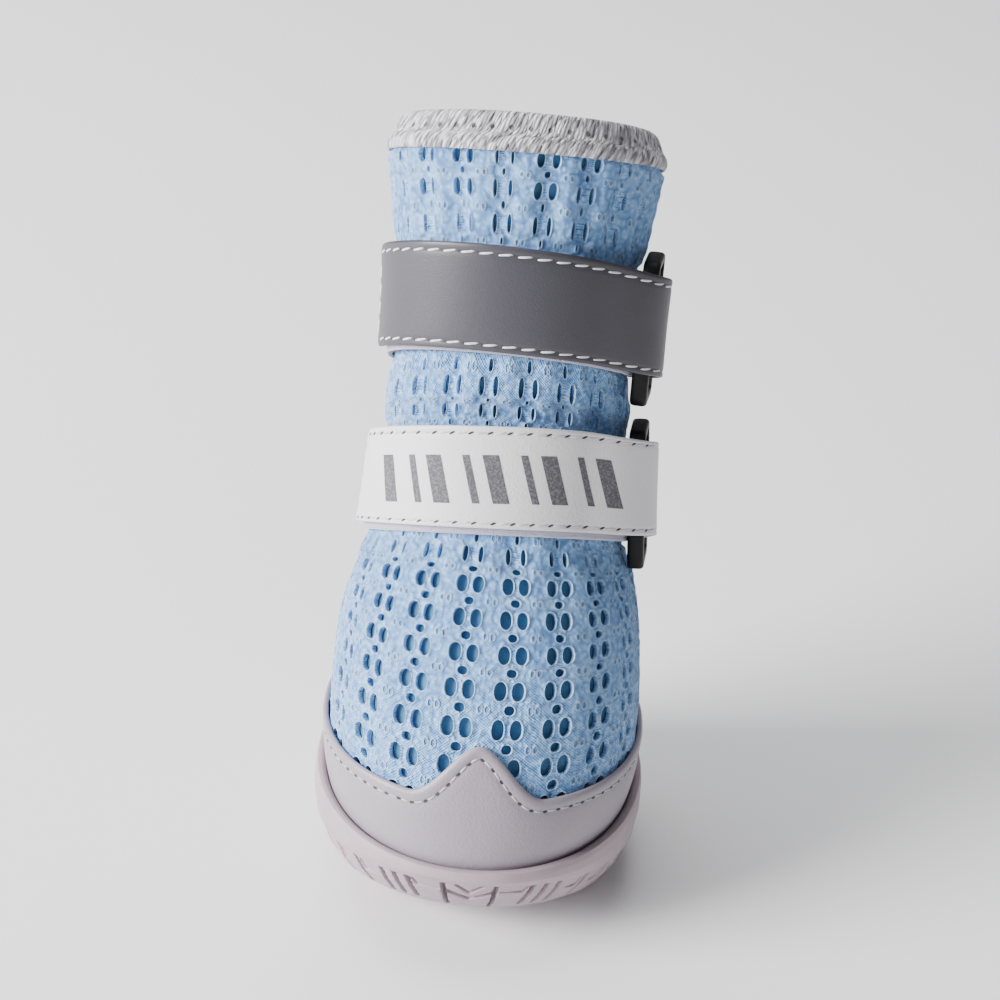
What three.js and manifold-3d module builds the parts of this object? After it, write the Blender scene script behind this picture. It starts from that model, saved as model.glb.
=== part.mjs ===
// Dog boot: a soft air-mesh upper on a cupped rubber sole, with a toe guard, a knitted collar binding,
// an insole and two straps that each run through a square ring and fold back on themselves.
//
// Millimetres, +Z up, toe towards -Y. The origin is on the floor, under the middle of the sole.
// The angle round the foot is 0 at +X, 90 degrees at the toe (-Y) and 270 degrees at the heel.

import * as THREE from 'three';
import { mergeVertices } from 'three/addons/utils/BufferGeometryUtils.js';
import Module from 'manifold-3d';

const wasm = await Module();
wasm.setup();

// ---------------------------------------------------------------- driving dimensions

const GAP = 0.3;                 // between pieces that touch
const WALL = 2.4;                // air mesh and its lining
const GUARD_THICK = 1.0;         // synthetic leather
const LIP_THICK = 1.6;           // the sole's rim
const INSOLE_THICK = 2.6;
const TREAD_DEPTH = 1.6;
const GROOVE_WIDTH = 2.2;
const TOE_GROOVE_WIDTH = 1.2;

const STRAP = {
  thick: 1.3,
  lie: 0.6,                      // clear of the mesh
  pile: 0.5,                     // hook and loop between the two layers
  rootAngle: 245,                // sewn down beside the back seam
  ringAngle: 19,
  freeAngle: 176,
  corner: 4,                     // radius of the free end's corners
};

const RING = { width: 12, height: 29.8, bar: 3, end: 2.2, thick: 3.4, corner: 2.6, bevel: 0.6 };
const TAB = { thick: 1.0, width: 17, length: 15 };
const BINDING = { drop: 4.6, thick: 0.9, puff: 0.5 };

/** A section of the upper, spanning from a front point to a back point, each given as y and z. */
const section = (name, [frontY, frontZ], [backY, backZ], halfWidth, power, sag = 0) => ({
  name, frontY, frontZ, backY, backZ, halfWidth, power, sag,
});

// Sections of the upper, from its lower edge to its collar: front point, back point, half the width,
// squareness and sag. The sag drops a section's middle, because the lower edge follows the toe spring.
const SECTIONS = [
  section('feather edge', [-35.0, 14.0], [33.4, 6.2], 27.6, 2.05, 3.6),
  section('rim', [-37.6, 21.4], [35.6, 17.0], 30.6, 2.08, -1.8),
  section('toe bulge', [-37.0, 31.0], [36.6, 26.5], 31.6, 2.15, -0.6),
  section('vamp', [-32.0, 44.5], [36.8, 35.5], 31.6, 2.20),
  section('instep', [-22.0, 59.5], [36.8, 43.5], 30.6, 2.15),
  section('ankle', [-11.5, 71.5], [36.8, 49.5], 28.0, 2.10),
  section('low strap bottom', [-5.0, 80.0], [37.0, 53.0], 25.6, 2.10),
  section('low strap top', [-0.5, 100.0], [38.6, 73.0], 24.0, 2.10),
  section('waist', [1.0, 107.0], [39.6, 80.5], 24.2, 2.10),
  section('top strap bottom', [2.5, 114.0], [40.8, 88.5], 23.3, 2.10),
  section('top strap top', [5.6, 134.0], [45.0, 109.0], 23.5, 2.10),
  section('seam', [8.4, 151.4], [50.2, 130.0], 26.4, 2.10),
  section('collar', [10.0, 155.6], [50.6, 135.0], 25.4, 2.10),
];
const LEVEL = Object.fromEntries(SECTIONS.map((row, index) => [row.name, index]));

// Rings of the sole's outside, from its lip to the ground. out is measured from the rim's outline. The
// heights are those at the heel, at the middle of the foot and at the toe.
const SOLE_RINGS = [
  { name: 'lip',          out: 0.0,   heelZ: 17.2, middleZ: 21.0, toeZ: 21.6 },
  { name: 'foxing top',   out: 0.45,  heelZ: 16.0, middleZ: 19.6, toeZ: 20.4 },
  { name: 'foxing',       out: 0.55,  heelZ: 13.0, middleZ: 15.2, toeZ: 19.0 },
  { name: 'foxing foot',  out: 0.00,  heelZ: 10.0, middleZ: 10.6, toeZ: 17.8 },
  { name: 'tread top',    out: -0.50, heelZ: 9.4,  middleZ: 9.9,  toeZ: 17.2 },
  { name: 'tread side',   out: -1.90, heelZ: 5.4,  middleZ: 5.6,  toeZ: 14.4 },
  { name: 'shoulder',     out: -4.20, heelZ: 2.0,  middleZ: 2.0,  toeZ: 11.6 },
  { name: 'ground edge',  out: -7.40, heelZ: 0.0,  middleZ: 0.0,  toeZ: 9.8 },
];
const TOE_RISE_FROM = -10;       // the sole is flat behind this
const TOE_RISE_TO = -38;

// The guard's upper edge, as a level of the sections table: a point over the toe between two dips.
const GUARD_EDGE = { low: 0.35, heel: 1.7, side: 2.33, dip: 2.38, point: 3.07, dipAngle: 24 };

const AROUND = 40;               // points round the upper
const FINE_AROUND = 48;          // points round the guard
const SOLE_AROUND = 48;          // points round the sole

// ---------------------------------------------------------------- small helpers

const radians = (degrees) => degrees * Math.PI / 180;
const clamp = (value, low, high) => Math.min(high, Math.max(low, value));
const mix = (a, b, share) => a + (b - a) * share;
const smooth = (share) => share * share * (3 - 2 * share);
const range = (count, from, to) => Array.from({ length: count + 1 }, (_, i) => mix(from, to, i / count));
const turn = (count) => Array.from({ length: count }, (_, i) => 2 * Math.PI * i / count);

/** One cubic stretch through b and c, with a and d as its neighbours. */
function cubic(a, b, c, d, share) {
  const s = share;
  const bend = (2 * a - 5 * b + 4 * c - d) * s * s + (3 * b - a - 3 * c + d) * s ** 3;
  return 0.5 * (2 * b + (c - a) * s + bend);
}

/** The sections table at a level between its rows, carried on a little way past its last row. */
function sectionAt(level) {
  const last = SECTIONS.length - 1;
  const base = clamp(Math.floor(level), 0, last - 1);
  const value = (index, key) => {
    if (index < 0) return 2 * SECTIONS[0][key] - SECTIONS[1][key];
    if (index > last) return 2 * SECTIONS[last][key] - SECTIONS[last - 1][key];
    return SECTIONS[index][key];
  };
  const at = (key) => cubic(
    value(base - 1, key), value(base, key), value(base + 1, key), value(base + 2, key), level - base);
  return Object.fromEntries(
    ['frontY', 'frontZ', 'backY', 'backZ', 'halfWidth', 'power', 'sag'].map((key) => [key, at(key)]));
}

/** A point on the upper's outer form itself. */
function formPoint(level, angle) {
  const row = sectionAt(level);
  const cos = Math.cos(angle);
  const sin = Math.sin(angle);
  const reach = (Math.abs(cos) ** row.power + Math.abs(sin) ** row.power) ** (-1 / row.power);
  const along = reach * sin / 2;
  const middleY = (row.frontY + row.backY) / 2;
  const middleZ = (row.frontZ + row.backZ) / 2;
  return new THREE.Vector3(
    row.halfWidth * reach * cos,
    middleY + along * (row.frontY - row.backY),
    middleZ + along * (row.frontZ - row.backZ) - row.sag * (1 - 4 * along * along));
}

/** The outward normal of the upper's form. */
function formNormal(level, angle) {
  const step = 0.01;
  const round = formPoint(level, angle + step).sub(formPoint(level, angle - step));
  const up = formPoint(level + step, angle).sub(formPoint(level - step, angle));
  return round.cross(up).normalize().negate();
}

/** A point that stands off the upper's form. */
function offForm(level, angle, distance) {
  return formPoint(level, angle).addScaledVector(formNormal(level, angle), distance);
}

/** How far one level is from the next at an angle, in millimetres. */
function levelPitch(level, angle) {
  const step = 0.05;
  return formPoint(level + step, angle).distanceTo(formPoint(level - step, angle)) / (2 * step);
}

// ---------------------------------------------------------------- meshes

/** Turns triangles to face out and returns their geometry. */
function closedGeometry(points, triangles) {
  let volume = 0;
  for (const [a, b, c] of triangles) volume += points[a].dot(points[b].clone().cross(points[c]));
  const faces = volume < 0 ? triangles.map(([a, b, c]) => [a, c, b]) : triangles;
  const geometry = new THREE.BufferGeometry();
  geometry.setAttribute('position', new THREE.Float32BufferAttribute(points.flatMap((p) => p.toArray()), 3));
  geometry.setIndex(faces.flat());
  geometry.computeVertexNormals();
  return geometry;
}

/**
 * Skins a row of loops that hold equally many points.
 * ends is 'joined' for a closed ring of loops, 'ladder' for flat strip-like ends whose points pair up from
 * both sides, or 'fan' for round ends.
 */
function skin(loops, ends) {
  const size = loops[0].length;
  const points = loops.flat();
  const triangles = [];
  const quad = (a, b, c, d) => triangles.push([a, b, c], [a, c, d]);
  const spans = ends === 'joined' ? loops.length : loops.length - 1;
  for (let i = 0; i < spans; i += 1) {
    const here = i * size;
    const next = ((i + 1) % loops.length) * size;
    for (let j = 0; j < size; j += 1) {
      const k = (j + 1) % size;
      quad(here + j, here + k, next + k, next + j);
    }
  }
  const close = (start, flip) => {
    if (ends === 'ladder') {
      for (let j = 0; j < size / 2 - 1; j += 1) {
        const corners = [start + j, start + size - 1 - j, start + size - 2 - j, start + j + 1];
        quad(...(flip ? corners : corners.reverse()));
      }
    } else {
      const centre = points.length;
      const sum = new THREE.Vector3();
      for (let j = 0; j < size; j += 1) sum.add(points[start + j]);
      points.push(sum.divideScalar(size));
      for (let j = 0; j < size; j += 1) {
        const edge = [start + j, start + (j + 1) % size];
        triangles.push(flip ? [edge[0], centre, edge[1]] : [edge[1], centre, edge[0]]);
      }
    }
  };
  if (ends !== 'joined') {
    close(0, true);
    close((loops.length - 1) * size, false);
  }
  return closedGeometry(points, triangles);
}

/** A geometry as a manifold solid. */
function solidOf(geometry) {
  const bare = geometry.clone();
  bare.deleteAttribute('normal');
  bare.deleteAttribute('uv');
  const merged = mergeVertices(bare, 1e-4);
  return new wasm.Manifold(new wasm.Mesh({
    numProp: 3,
    vertProperties: new Float32Array(merged.attributes.position.array),
    triVerts: new Uint32Array(merged.index.array),
  }));
}

/** A manifold solid as a geometry. */
function geometryOf(solid) {
  const mesh = solid.getMesh();
  const geometry = new THREE.BufferGeometry();
  geometry.setAttribute('position', new THREE.Float32BufferAttribute(mesh.vertProperties, 3));
  geometry.setIndex(Array.from(mesh.triVerts));
  geometry.computeVertexNormals();
  return geometry;
}

// ---------------------------------------------------------------- upper, guard and binding

/** The upper: one wall from the feather edge to the collar, open at both ends. */
function upperGeometry() {
  const angles = turn(AROUND);
  const levels = [...range(14, 0, LEVEL['top strap top']), 10.5, LEVEL.seam, 11.4, LEVEL.collar];
  const ring = (level, distance) => angles.map((angle) => offForm(level, angle, distance));
  const outside = levels.map((level) => ring(level, 0));
  const inside = levels.map((level) => ring(level, -WALL)).reverse();
  return skin([...outside, ...inside], 'joined');
}

/** Level of the guard's upper edge at an angle. */
function guardEdge(angle) {
  const fromToe = Math.abs(((angle * 180 / Math.PI - 90 + 540) % 360) - 180);
  const { heel, side, dip, point, dipAngle } = GUARD_EDGE;
  if (fromToe < dipAngle) return mix(point, dip, smooth(fromToe / dipAngle));
  if (fromToe < 95) return mix(dip, side, smooth((fromToe - dipAngle) / (95 - dipAngle)));
  return mix(side, heel, smooth((fromToe - 95) / 85));
}

/** The toe guard, which runs on round the heel as a low band: the upper's form between two offsets. */
function guardGeometry() {
  const loops = turn(FINE_AROUND).map((angle) => {
    const levels = range(4, GUARD_EDGE.low, guardEdge(angle));
    const inner = levels.map((level) => offForm(level, angle, 1.3 * GAP));
    const outer = levels.map((level) => offForm(level, angle, GAP + GUARD_THICK)).reverse();
    return [...inner, ...outer];
  });
  return skin(loops, 'joined');
}

/** The binding folded over the collar's edge, as one closed section carried round it. */
function bindingGeometry() {
  const { drop, thick, puff } = BINDING;
  const inside = -WALL - GAP;
  const profile = [
    { out: GAP, up: GAP },
    { out: GAP + 0.1, up: -drop / 2 },
    { out: GAP + 0.1, up: -drop },
    { out: GAP + thick, up: -drop },
    { out: GAP + thick + puff, up: -drop / 2 },
    { out: GAP + thick, up: 0.6 },
    { out: -0.5, up: thick + 0.9 },
    { out: inside + 0.8, up: thick + 0.9 },
    { out: inside - thick, up: 0.6 },
    { out: inside - thick - puff / 2, up: -drop / 2 },
    { out: inside - thick, up: -drop + 0.6 },
    { out: inside, up: -drop + 0.6 },
    { out: inside, up: -drop / 2 },
    { out: inside, up: GAP },
  ];
  const loops = turn(AROUND).map((angle) => {
    const pitch = levelPitch(LEVEL.collar, angle);
    return profile.map(({ out, up }) => offForm(LEVEL.collar + up / pitch, angle, out));
  });
  return skin(loops, 'joined');
}

// ---------------------------------------------------------------- straps, tabs and rings

const STRAP_RADIUS = 24.5;       // of the shaft where the straps lie, to turn lengths into angles
const ringAngle = radians(STRAP.ringAngle);
const baseOut = STRAP.lie + STRAP.thick / 2;
const rearBarOut = STRAP.lie + TAB.thick + 0.6 + RING.thick / 2;
const barOut = rearBarOut + 0.6; // the strap lifts the ring's front bar
const foldRadius = STRAP.thick / 2 + 0.7 + RING.thick / 2;
const topOut = baseOut + STRAP.thick + STRAP.pile;

/**
 * A ribbon laid on the upper. Each point of its path has along, the distance from the ring towards the
 * front, out, the distance off the form, and facing, the direction of its outer face in that plane.
 * low and high give the levels of its two edges at that point.
 */
function ribbon(path, thick) {
  const loops = path.map(({ along, out, facing, low, high }) => {
    const face = (side, levels) => levels.map((level) => offForm(
      level,
      ringAngle + (along + side * thick / 2 * Math.cos(facing)) / STRAP_RADIUS,
      out + side * thick / 2 * Math.sin(facing)));
    return [...face(1, range(3, low, high)), ...face(-1, range(3, high, low))];
  });
  return skin(loops, 'ladder');
}

/** Half the strap's width lost to its rounded corners, this far from its free end. */
function cornerLoss(distance) {
  const { corner } = STRAP;
  return distance >= corner ? 0 : corner - Math.sqrt(corner ** 2 - (corner - distance) ** 2);
}

/**
 * A strap: from its sewn root across the front, round the ring's bar and back to its free end.
 * lift raises the whole strap, tilt raises its free side above its ring's side, taller raises its upper
 * edge, and stagger is how far its root layer shows below the free layer.
 */
function strapGeometry({ bottom, top, lift, tilt, taller, stagger }) {
  const pitch = levelPitch((bottom + top) / 2, Math.PI / 2);
  const toAlong = (degrees) => STRAP_RADIUS * radians(degrees - STRAP.ringAngle);
  const row = (along, out, facing, drop, loss = 0) => {
    const shift = lift - drop - tilt * Math.cos(ringAngle + along / STRAP_RADIUS);
    const low = bottom + (shift + loss) / pitch;
    const high = top + (shift + taller - loss) / pitch;
    return { along, out, facing, low, high };
  };
  const root = range(30, toAlong(STRAP.rootAngle), 0).map((along) => {
    const share = smooth(clamp(1 - along / 14, 0, 1));
    return row(along, mix(baseOut, barOut - foldRadius, share), Math.PI / 2, stagger);
  });
  const fold = range(6, 0, 1).slice(1, -1).map((share) => row(
    -foldRadius * Math.sin(Math.PI * share),
    barOut - foldRadius * Math.cos(Math.PI * share),
    Math.PI / 2 + Math.PI * share,
    stagger * (1 - share)));
  const end = toAlong(STRAP.freeAngle);
  const settled = 16;            // along the front, the fold has come down on to the root layer by here
  const back = [...range(23, 0, end - STRAP.corner), end - 2, end - 0.8, end - 0.2].map((along) => {
    const share = smooth(clamp(along / settled, 0, 1));
    return row(along, mix(barOut + foldRadius, topOut, share), 1.5 * Math.PI, 0, cornerLoss(end - along));
  });
  return ribbon([...root, ...fold, ...back], STRAP.thick);
}

/** The webbing tab that holds the ring's rear bar, folded round it and sewn down towards the heel. */
function tabGeometry(level) {
  const pitch = levelPitch(level, ringAngle);
  const half = TAB.width / 2 / pitch;
  const turnAt = -(RING.width - 2 * RING.bar);
  const innerOut = STRAP.lie + TAB.thick / 2;
  const radius = rearBarOut - innerOut;
  const row = (along, out, facing) => ({ along, out, facing, low: level - half, high: level + half });
  const under = range(7, turnAt - TAB.length, turnAt).map((along) => row(along, innerOut, Math.PI / 2));
  const fold = range(6, 0, 1).slice(1, -1).map((share) => row(
    turnAt + radius * 0.62 * Math.sin(Math.PI * share),
    rearBarOut - radius * Math.cos(Math.PI * share),
    Math.PI / 2 - Math.PI * share));
  const over = range(8, turnAt, turnAt - TAB.length).map((along) => {
    const share = smooth(clamp((turnAt - along - RING.bar) / (TAB.length - RING.bar - 4), 0, 1));
    return row(along, mix(rearBarOut + radius, innerOut + TAB.thick + 0.35, share), -Math.PI / 2);
  });
  return ribbon([...under, ...fold, ...over], TAB.thick);
}

/** A rectangle with rounded corners, as a shape or as a hole. */
function roundedRectangle(target, width, height, corner) {
  const x = width / 2 - corner;
  const y = height / 2 - corner;
  target.absarc(x, y, corner, 0, Math.PI / 2);
  target.absarc(-x, y, corner, Math.PI / 2, Math.PI);
  target.absarc(-x, -y, corner, Math.PI, 1.5 * Math.PI);
  target.absarc(x, -y, corner, 1.5 * Math.PI, 2 * Math.PI);
  target.closePath();
  return target;
}

/** The square ring, flat, with its bars' edges bevelled. */
function ringGeometry() {
  const { width, height, bar, end, thick, corner, bevel } = RING;
  const shape = roundedRectangle(new THREE.Shape(), width - 2 * bevel, height - 2 * bevel, corner - bevel);
  shape.holes.push(roundedRectangle(
    new THREE.Path(), width - 2 * bar + 2 * bevel, height - 2 * end + 2 * bevel, 0.8 + bevel));
  const geometry = new THREE.ExtrudeGeometry(shape, {
    depth: thick - 2 * bevel, bevelEnabled: true, bevelThickness: bevel, bevelSize: bevel, bevelSegments: 1,
    curveSegments: 3,
  });
  return geometry.translate(0, 0, bevel - thick / 2);
}

/** Sets a ring against the shaft's side by its two upright bars. */
function placeRing(mesh, level) {
  const barAngle = (along) => ringAngle + along / STRAP_RADIUS;
  const frontBar = offForm(level, barAngle(RING.bar / 2), barOut);
  const rearBar = offForm(level, barAngle(1.5 * RING.bar - RING.width), rearBarOut);
  const middle = barAngle(RING.bar - RING.width / 2);
  const up = offForm(level + 0.4, middle, barOut).sub(offForm(level - 0.4, middle, barOut)).normalize();
  const front = frontBar.clone().sub(rearBar);
  front.addScaledVector(up, -front.dot(up)).normalize();
  const out = front.clone().cross(up);
  mesh.setRotationFromMatrix(new THREE.Matrix4().makeBasis(front, up, out));
  mesh.position.copy(frontBar.add(rearBar).multiplyScalar(0.5));
}

// ---------------------------------------------------------------- sole and insole

/** How far the toe's spring has risen at a place in the sole's plan, from 0 to 1. */
function toeRise(x, y) {
  const ahead = TOE_RISE_FROM - y + 5 * (x / 30) ** 2;
  return clamp(ahead / (TOE_RISE_FROM - TOE_RISE_TO), 0, 1.1) ** 1.6;
}

/** A ring's height at a place in the sole's plan. */
function ringHeight({ heelZ, middleZ, toeZ }, x, y) {
  return mix(mix(heelZ, middleZ, smooth(clamp((34 - y) / 30, 0, 1))), toeZ, toeRise(x, y));
}

/** One ring of the sole's outside: the rim's outline moved out or in, at the height that its row gives. */
function soleRing(row, sink) {
  const centre = sectionCentre(LEVEL.rim);
  return turn(SOLE_AROUND).map((angle) => {
    const rim = offForm(LEVEL.rim, angle, 2 * GAP + GUARD_THICK + LIP_THICK);
    const flat = new THREE.Vector2(rim.x, rim.y - centre);
    flat.setLength(flat.length() + row.out - sink * 0.35);
    const y = centre + flat.y;
    return new THREE.Vector3(flat.x, y, ringHeight(row, flat.x, y) + sink);
  });
}

const sectionCentre = (level) => {
  const row = sectionAt(level);
  return (row.frontY + row.backY) / 2;
};

/** Height of the cup's floor at a place in the sole's plan. */
function floorHeight(x, y) {
  const row = sectionAt(LEVEL['feather edge']);
  const along = (y - (row.frontY + row.backY) / 2) / (row.frontY - row.backY);
  return (row.frontZ + row.backZ) / 2 + along * (row.frontZ - row.backZ)
    - row.sag * (1 - 4 * clamp(along, -0.5, 0.5) ** 2) - GAP;
}

/** A loop shrunk towards the middle of the foot, at heights given by its place. */
function shrunk(loop, share, heightAt) {
  const centre = sectionCentre(LEVEL.rim);
  return loop.map((p) => {
    const x = p.x * share;
    const y = centre + (p.y - centre) * share;
    return new THREE.Vector3(x, y, heightAt(x, y));
  });
}

/** The cupped sole. sink draws its tread surface in, which gives the form that the grooves stop at. */
function soleForm(sink) {
  const angles = turn(SOLE_AROUND);
  const cupWall = (level) => angles.map((angle) => offForm(level, angle, 2 * GAP + GUARD_THICK));
  const wall = [0.9, 0.4].map(cupWall);
  const floorEdge = cupWall(0.0).map((p) => new THREE.Vector3(p.x, p.y, floorHeight(p.x, p.y)));
  const outer = SOLE_RINGS.map((row) => soleRing(row, row.out < 0 ? sink : 0));
  const ground = SOLE_RINGS[SOLE_RINGS.length - 1];
  const underside = (x, y) => ringHeight(ground, x, y) + sink;
  const cup = [0.35, 0.75].map((share) => shrunk(floorEdge, share, floorHeight));
  const under = [0.6, 0.25].map((share) => shrunk(outer[outer.length - 1], share, underside));
  return skin([...cup, floorEdge, ...wall.reverse(), ...outer, ...under], 'fan');
}

/** A straight groove between two points of a plan, as a closed outline. */
function grooveShape([x0, y0], [x1, y1], width) {
  const run = new THREE.Vector2(x1 - x0, y1 - y0).normalize();
  const side = new THREE.Vector2(-run.y, run.x).multiplyScalar(width / 2);
  return new THREE.Shape([
    new THREE.Vector2(x0 + side.x, y0 + side.y), new THREE.Vector2(x0 - side.x, y0 - side.y),
    new THREE.Vector2(x1 - side.x, y1 - side.y), new THREE.Vector2(x1 + side.x, y1 + side.y),
  ]);
}

/** Joined solids of straight grooves of one width, extruded to a depth. */
function grooves(lines, width, depth, place) {
  return lines.map(([from, to]) => {
    const geometry = new THREE.ExtrudeGeometry(grooveShape(from, to, width), { depth, bevelEnabled: false });
    return solidOf(place(geometry));
  }).reduce((all, one) => all.add(one));
}

/** The tread's main grooves: chevrons down the middle, and bars between the lugs at the edge. */
function treadLines() {
  const lines = [];
  const arm = 13;
  for (const side of [-1, 1]) {
    for (let y = -16; y <= 22; y += 14) {
      lines.push([[0, y - 4], [side * arm, y + 2]]);
      lines.push([[side * arm, y + 4], [side * 36, y + 9]]);
    }
    lines.push([[side * arm, -30], [side * arm, 33]]);
  }
  return lines;
}

/** The grooves on the toe's front, in its width and height: a middle lug with a V, and slanted bars. */
function toeLines() {
  const lines = [];
  for (const side of [-1, 1]) {
    lines.push([[0, 11.2], [side * 4.9, 15.4]]);
    lines.push([[side * 4.7, 2], [side * 5.3, 18.5]]);
    lines.push([[side * 10.4, 2], [side * 12.8, 18.5]]);
    lines.push([[side * 15.2, 2], [side * 18.0, 18.5]]);
  }
  return lines;
}

/** The sole with its main tread cut, to one depth below its surface. */
function soleGeometry() {
  const below = grooves(treadLines(), GROOVE_WIDTH, 12, (geometry) => geometry.translate(0, 0, -1));
  const front = grooves(toeLines(), TOE_GROOVE_WIDTH, 20, (geometry) => (
    geometry.rotateX(Math.PI / 2).translate(0, -25, 0)
  ));
  const cut = below.add(front).subtract(solidOf(soleForm(TREAD_DEPTH)));
  return geometryOf(solidOf(soleForm(0)).subtract(cut));
}

/** The insole, resting in the cup inside the upper's wall. */
function insoleGeometry() {
  const edge = turn(AROUND).map((angle) => offForm(0.08, angle, -WALL - GAP - 0.3));
  const bottom = (x, y) => floorHeight(x, y) + 1.5 * GAP;
  const top = (x, y) => bottom(x, y) + INSOLE_THICK;
  const low = shrunk(edge, 0.97, bottom);
  const high = shrunk(edge, 1, top);
  const inner = [0.4, 0.8];
  const above = inner.map((share) => shrunk(edge, share, top));
  const below = inner.map((share) => shrunk(edge, share, bottom)).reverse();
  return skin([...above, high, low, ...below], 'fan');
}

// ---------------------------------------------------------------- assembly

const material = (color, roughness) => new THREE.MeshStandardMaterial({ color, roughness, metalness: 0 });
const MATERIALS = {
  mesh: material(0xa9cdec, 0.9),
  guard: material(0xc9c6ca, 0.5),
  rubber: material(0xddd2d4, 0.65),
  binding: material(0xb9b7bd, 0.95),
  insole: material(0x8f9aa6, 0.95),
  darkStrap: material(0x6a6870, 0.45),
  lightStrap: material(0xdcdade, 0.5),
  plastic: material(0x0c0c0e, 0.4),
  webbing: material(0x101013, 0.9),
};

const boot = new THREE.Group();

function addPiece(name, geometry, finish) {
  const mesh = new THREE.Mesh(geometry, finish);
  mesh.name = name;
  boot.add(mesh);
  return mesh;
}

addPiece('upper', upperGeometry(), MATERIALS.mesh);
addPiece('sole', soleGeometry(), MATERIALS.rubber);
addPiece('insole', insoleGeometry(), MATERIALS.insole);
addPiece('toe_guard', guardGeometry(), MATERIALS.guard);
addPiece('collar_binding', bindingGeometry(), MATERIALS.binding);

const STRAPS = [
  {
    name: 'low', bottom: 'low strap bottom', top: 'low strap top', finish: MATERIALS.lightStrap,
    lift: -0.7, tilt: -1.9, taller: 1.2, stagger: 3.0, ringLift: -0.4,
  },
  {
    name: 'top', bottom: 'top strap bottom', top: 'top strap top', finish: MATERIALS.darkStrap,
    lift: 1.0, tilt: 1.3, taller: 0.5, stagger: 1.7, ringLift: 0.1,
  },
];
for (const { name, bottom, top, finish, ringLift, ...fit } of STRAPS) {
  const place = { ...fit, bottom: LEVEL[bottom], top: LEVEL[top] };
  const middle = (place.bottom + place.top) / 2;
  const ringLevel = middle + ringLift / levelPitch(middle, ringAngle);
  addPiece(`${name}_strap`, strapGeometry(place), finish);
  addPiece(`${name}_strap_tab`, tabGeometry(ringLevel), MATERIALS.webbing);
  placeRing(addPiece(`${name}_strap_ring`, ringGeometry(), MATERIALS.plastic), ringLevel);
}

export default boot;
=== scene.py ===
import logging
import math
from dataclasses import dataclass, field
from enum import Enum

import bmesh
import bpy
import numpy as np
from mathutils import Matrix, Vector
from mathutils.geometry import delaunay_2d_cdt


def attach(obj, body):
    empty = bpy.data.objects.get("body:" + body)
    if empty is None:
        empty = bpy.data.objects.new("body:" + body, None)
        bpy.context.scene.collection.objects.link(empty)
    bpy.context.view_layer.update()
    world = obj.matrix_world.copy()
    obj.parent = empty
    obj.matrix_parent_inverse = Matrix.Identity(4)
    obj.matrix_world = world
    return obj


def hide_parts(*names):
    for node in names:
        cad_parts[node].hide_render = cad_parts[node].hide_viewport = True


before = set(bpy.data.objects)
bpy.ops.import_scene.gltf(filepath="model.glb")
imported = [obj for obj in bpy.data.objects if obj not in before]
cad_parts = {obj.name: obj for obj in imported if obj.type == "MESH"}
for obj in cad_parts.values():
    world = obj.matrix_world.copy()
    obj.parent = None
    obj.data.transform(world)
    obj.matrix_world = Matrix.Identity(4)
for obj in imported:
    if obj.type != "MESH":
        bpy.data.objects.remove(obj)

Array = np.ndarray
Colour = tuple[float, float, float]
log = logging.getLogger("dog_boot")

MM = 0.001
TOE = math.pi / 2
SEED = 7


# ---------------------------------------------------------------- numbers


def smooth(share: Array) -> Array:
    """Eases a share from 0 to 1, clamped at both ends."""
    share = np.clip(share, 0.0, 1.0)
    return share * share * (3 - 2 * share)


def mix(a: Array, b: Array, share: Array) -> Array:
    """The value that lies a share of the way from a to b."""
    return a + (b - a) * share


def drift(x: Array, y: Array, seed: float) -> Array:
    """A slow irregular wave between about -1 and 1, the same on every run.

    Args:
        x: first coordinate, in radians of the slowest wave.
        y: second coordinate, in the same measure.
        seed: which wave of the family to take.

    Returns:
        One value for each place.
    """
    return (
        np.sin(1.0 * x + 1.7 * y + seed)
        + 0.7 * np.sin(2.3 * x - 1.3 * y + 2.1 * seed)
        + 0.5 * np.sin(-3.1 * x + 2.9 * y + 3.7 * seed)
    ) / 2.2


def curve_length(points: Array) -> Array:
    """Distance along a row of points, starting at 0."""
    steps = np.linalg.norm(np.diff(points, axis=0), axis=1)
    return np.concatenate([[0.0], np.cumsum(steps)])


def resample(points: Array, at: Array) -> Array:
    """Points at given distances along a row of points."""
    along = curve_length(points)
    return np.stack([np.interp(at, along, points[:, k]) for k in range(points.shape[1])], axis=1)


# ---------------------------------------------------------------- the boot's form


@dataclass(frozen=True)
class Section:
    """One tilted section of the upper, spanning from a front point to a back point, in millimetres."""

    name: str
    front_y: float
    front_z: float
    back_y: float
    back_z: float
    half_width: float
    power: float
    sag: float = 0.0


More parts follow.
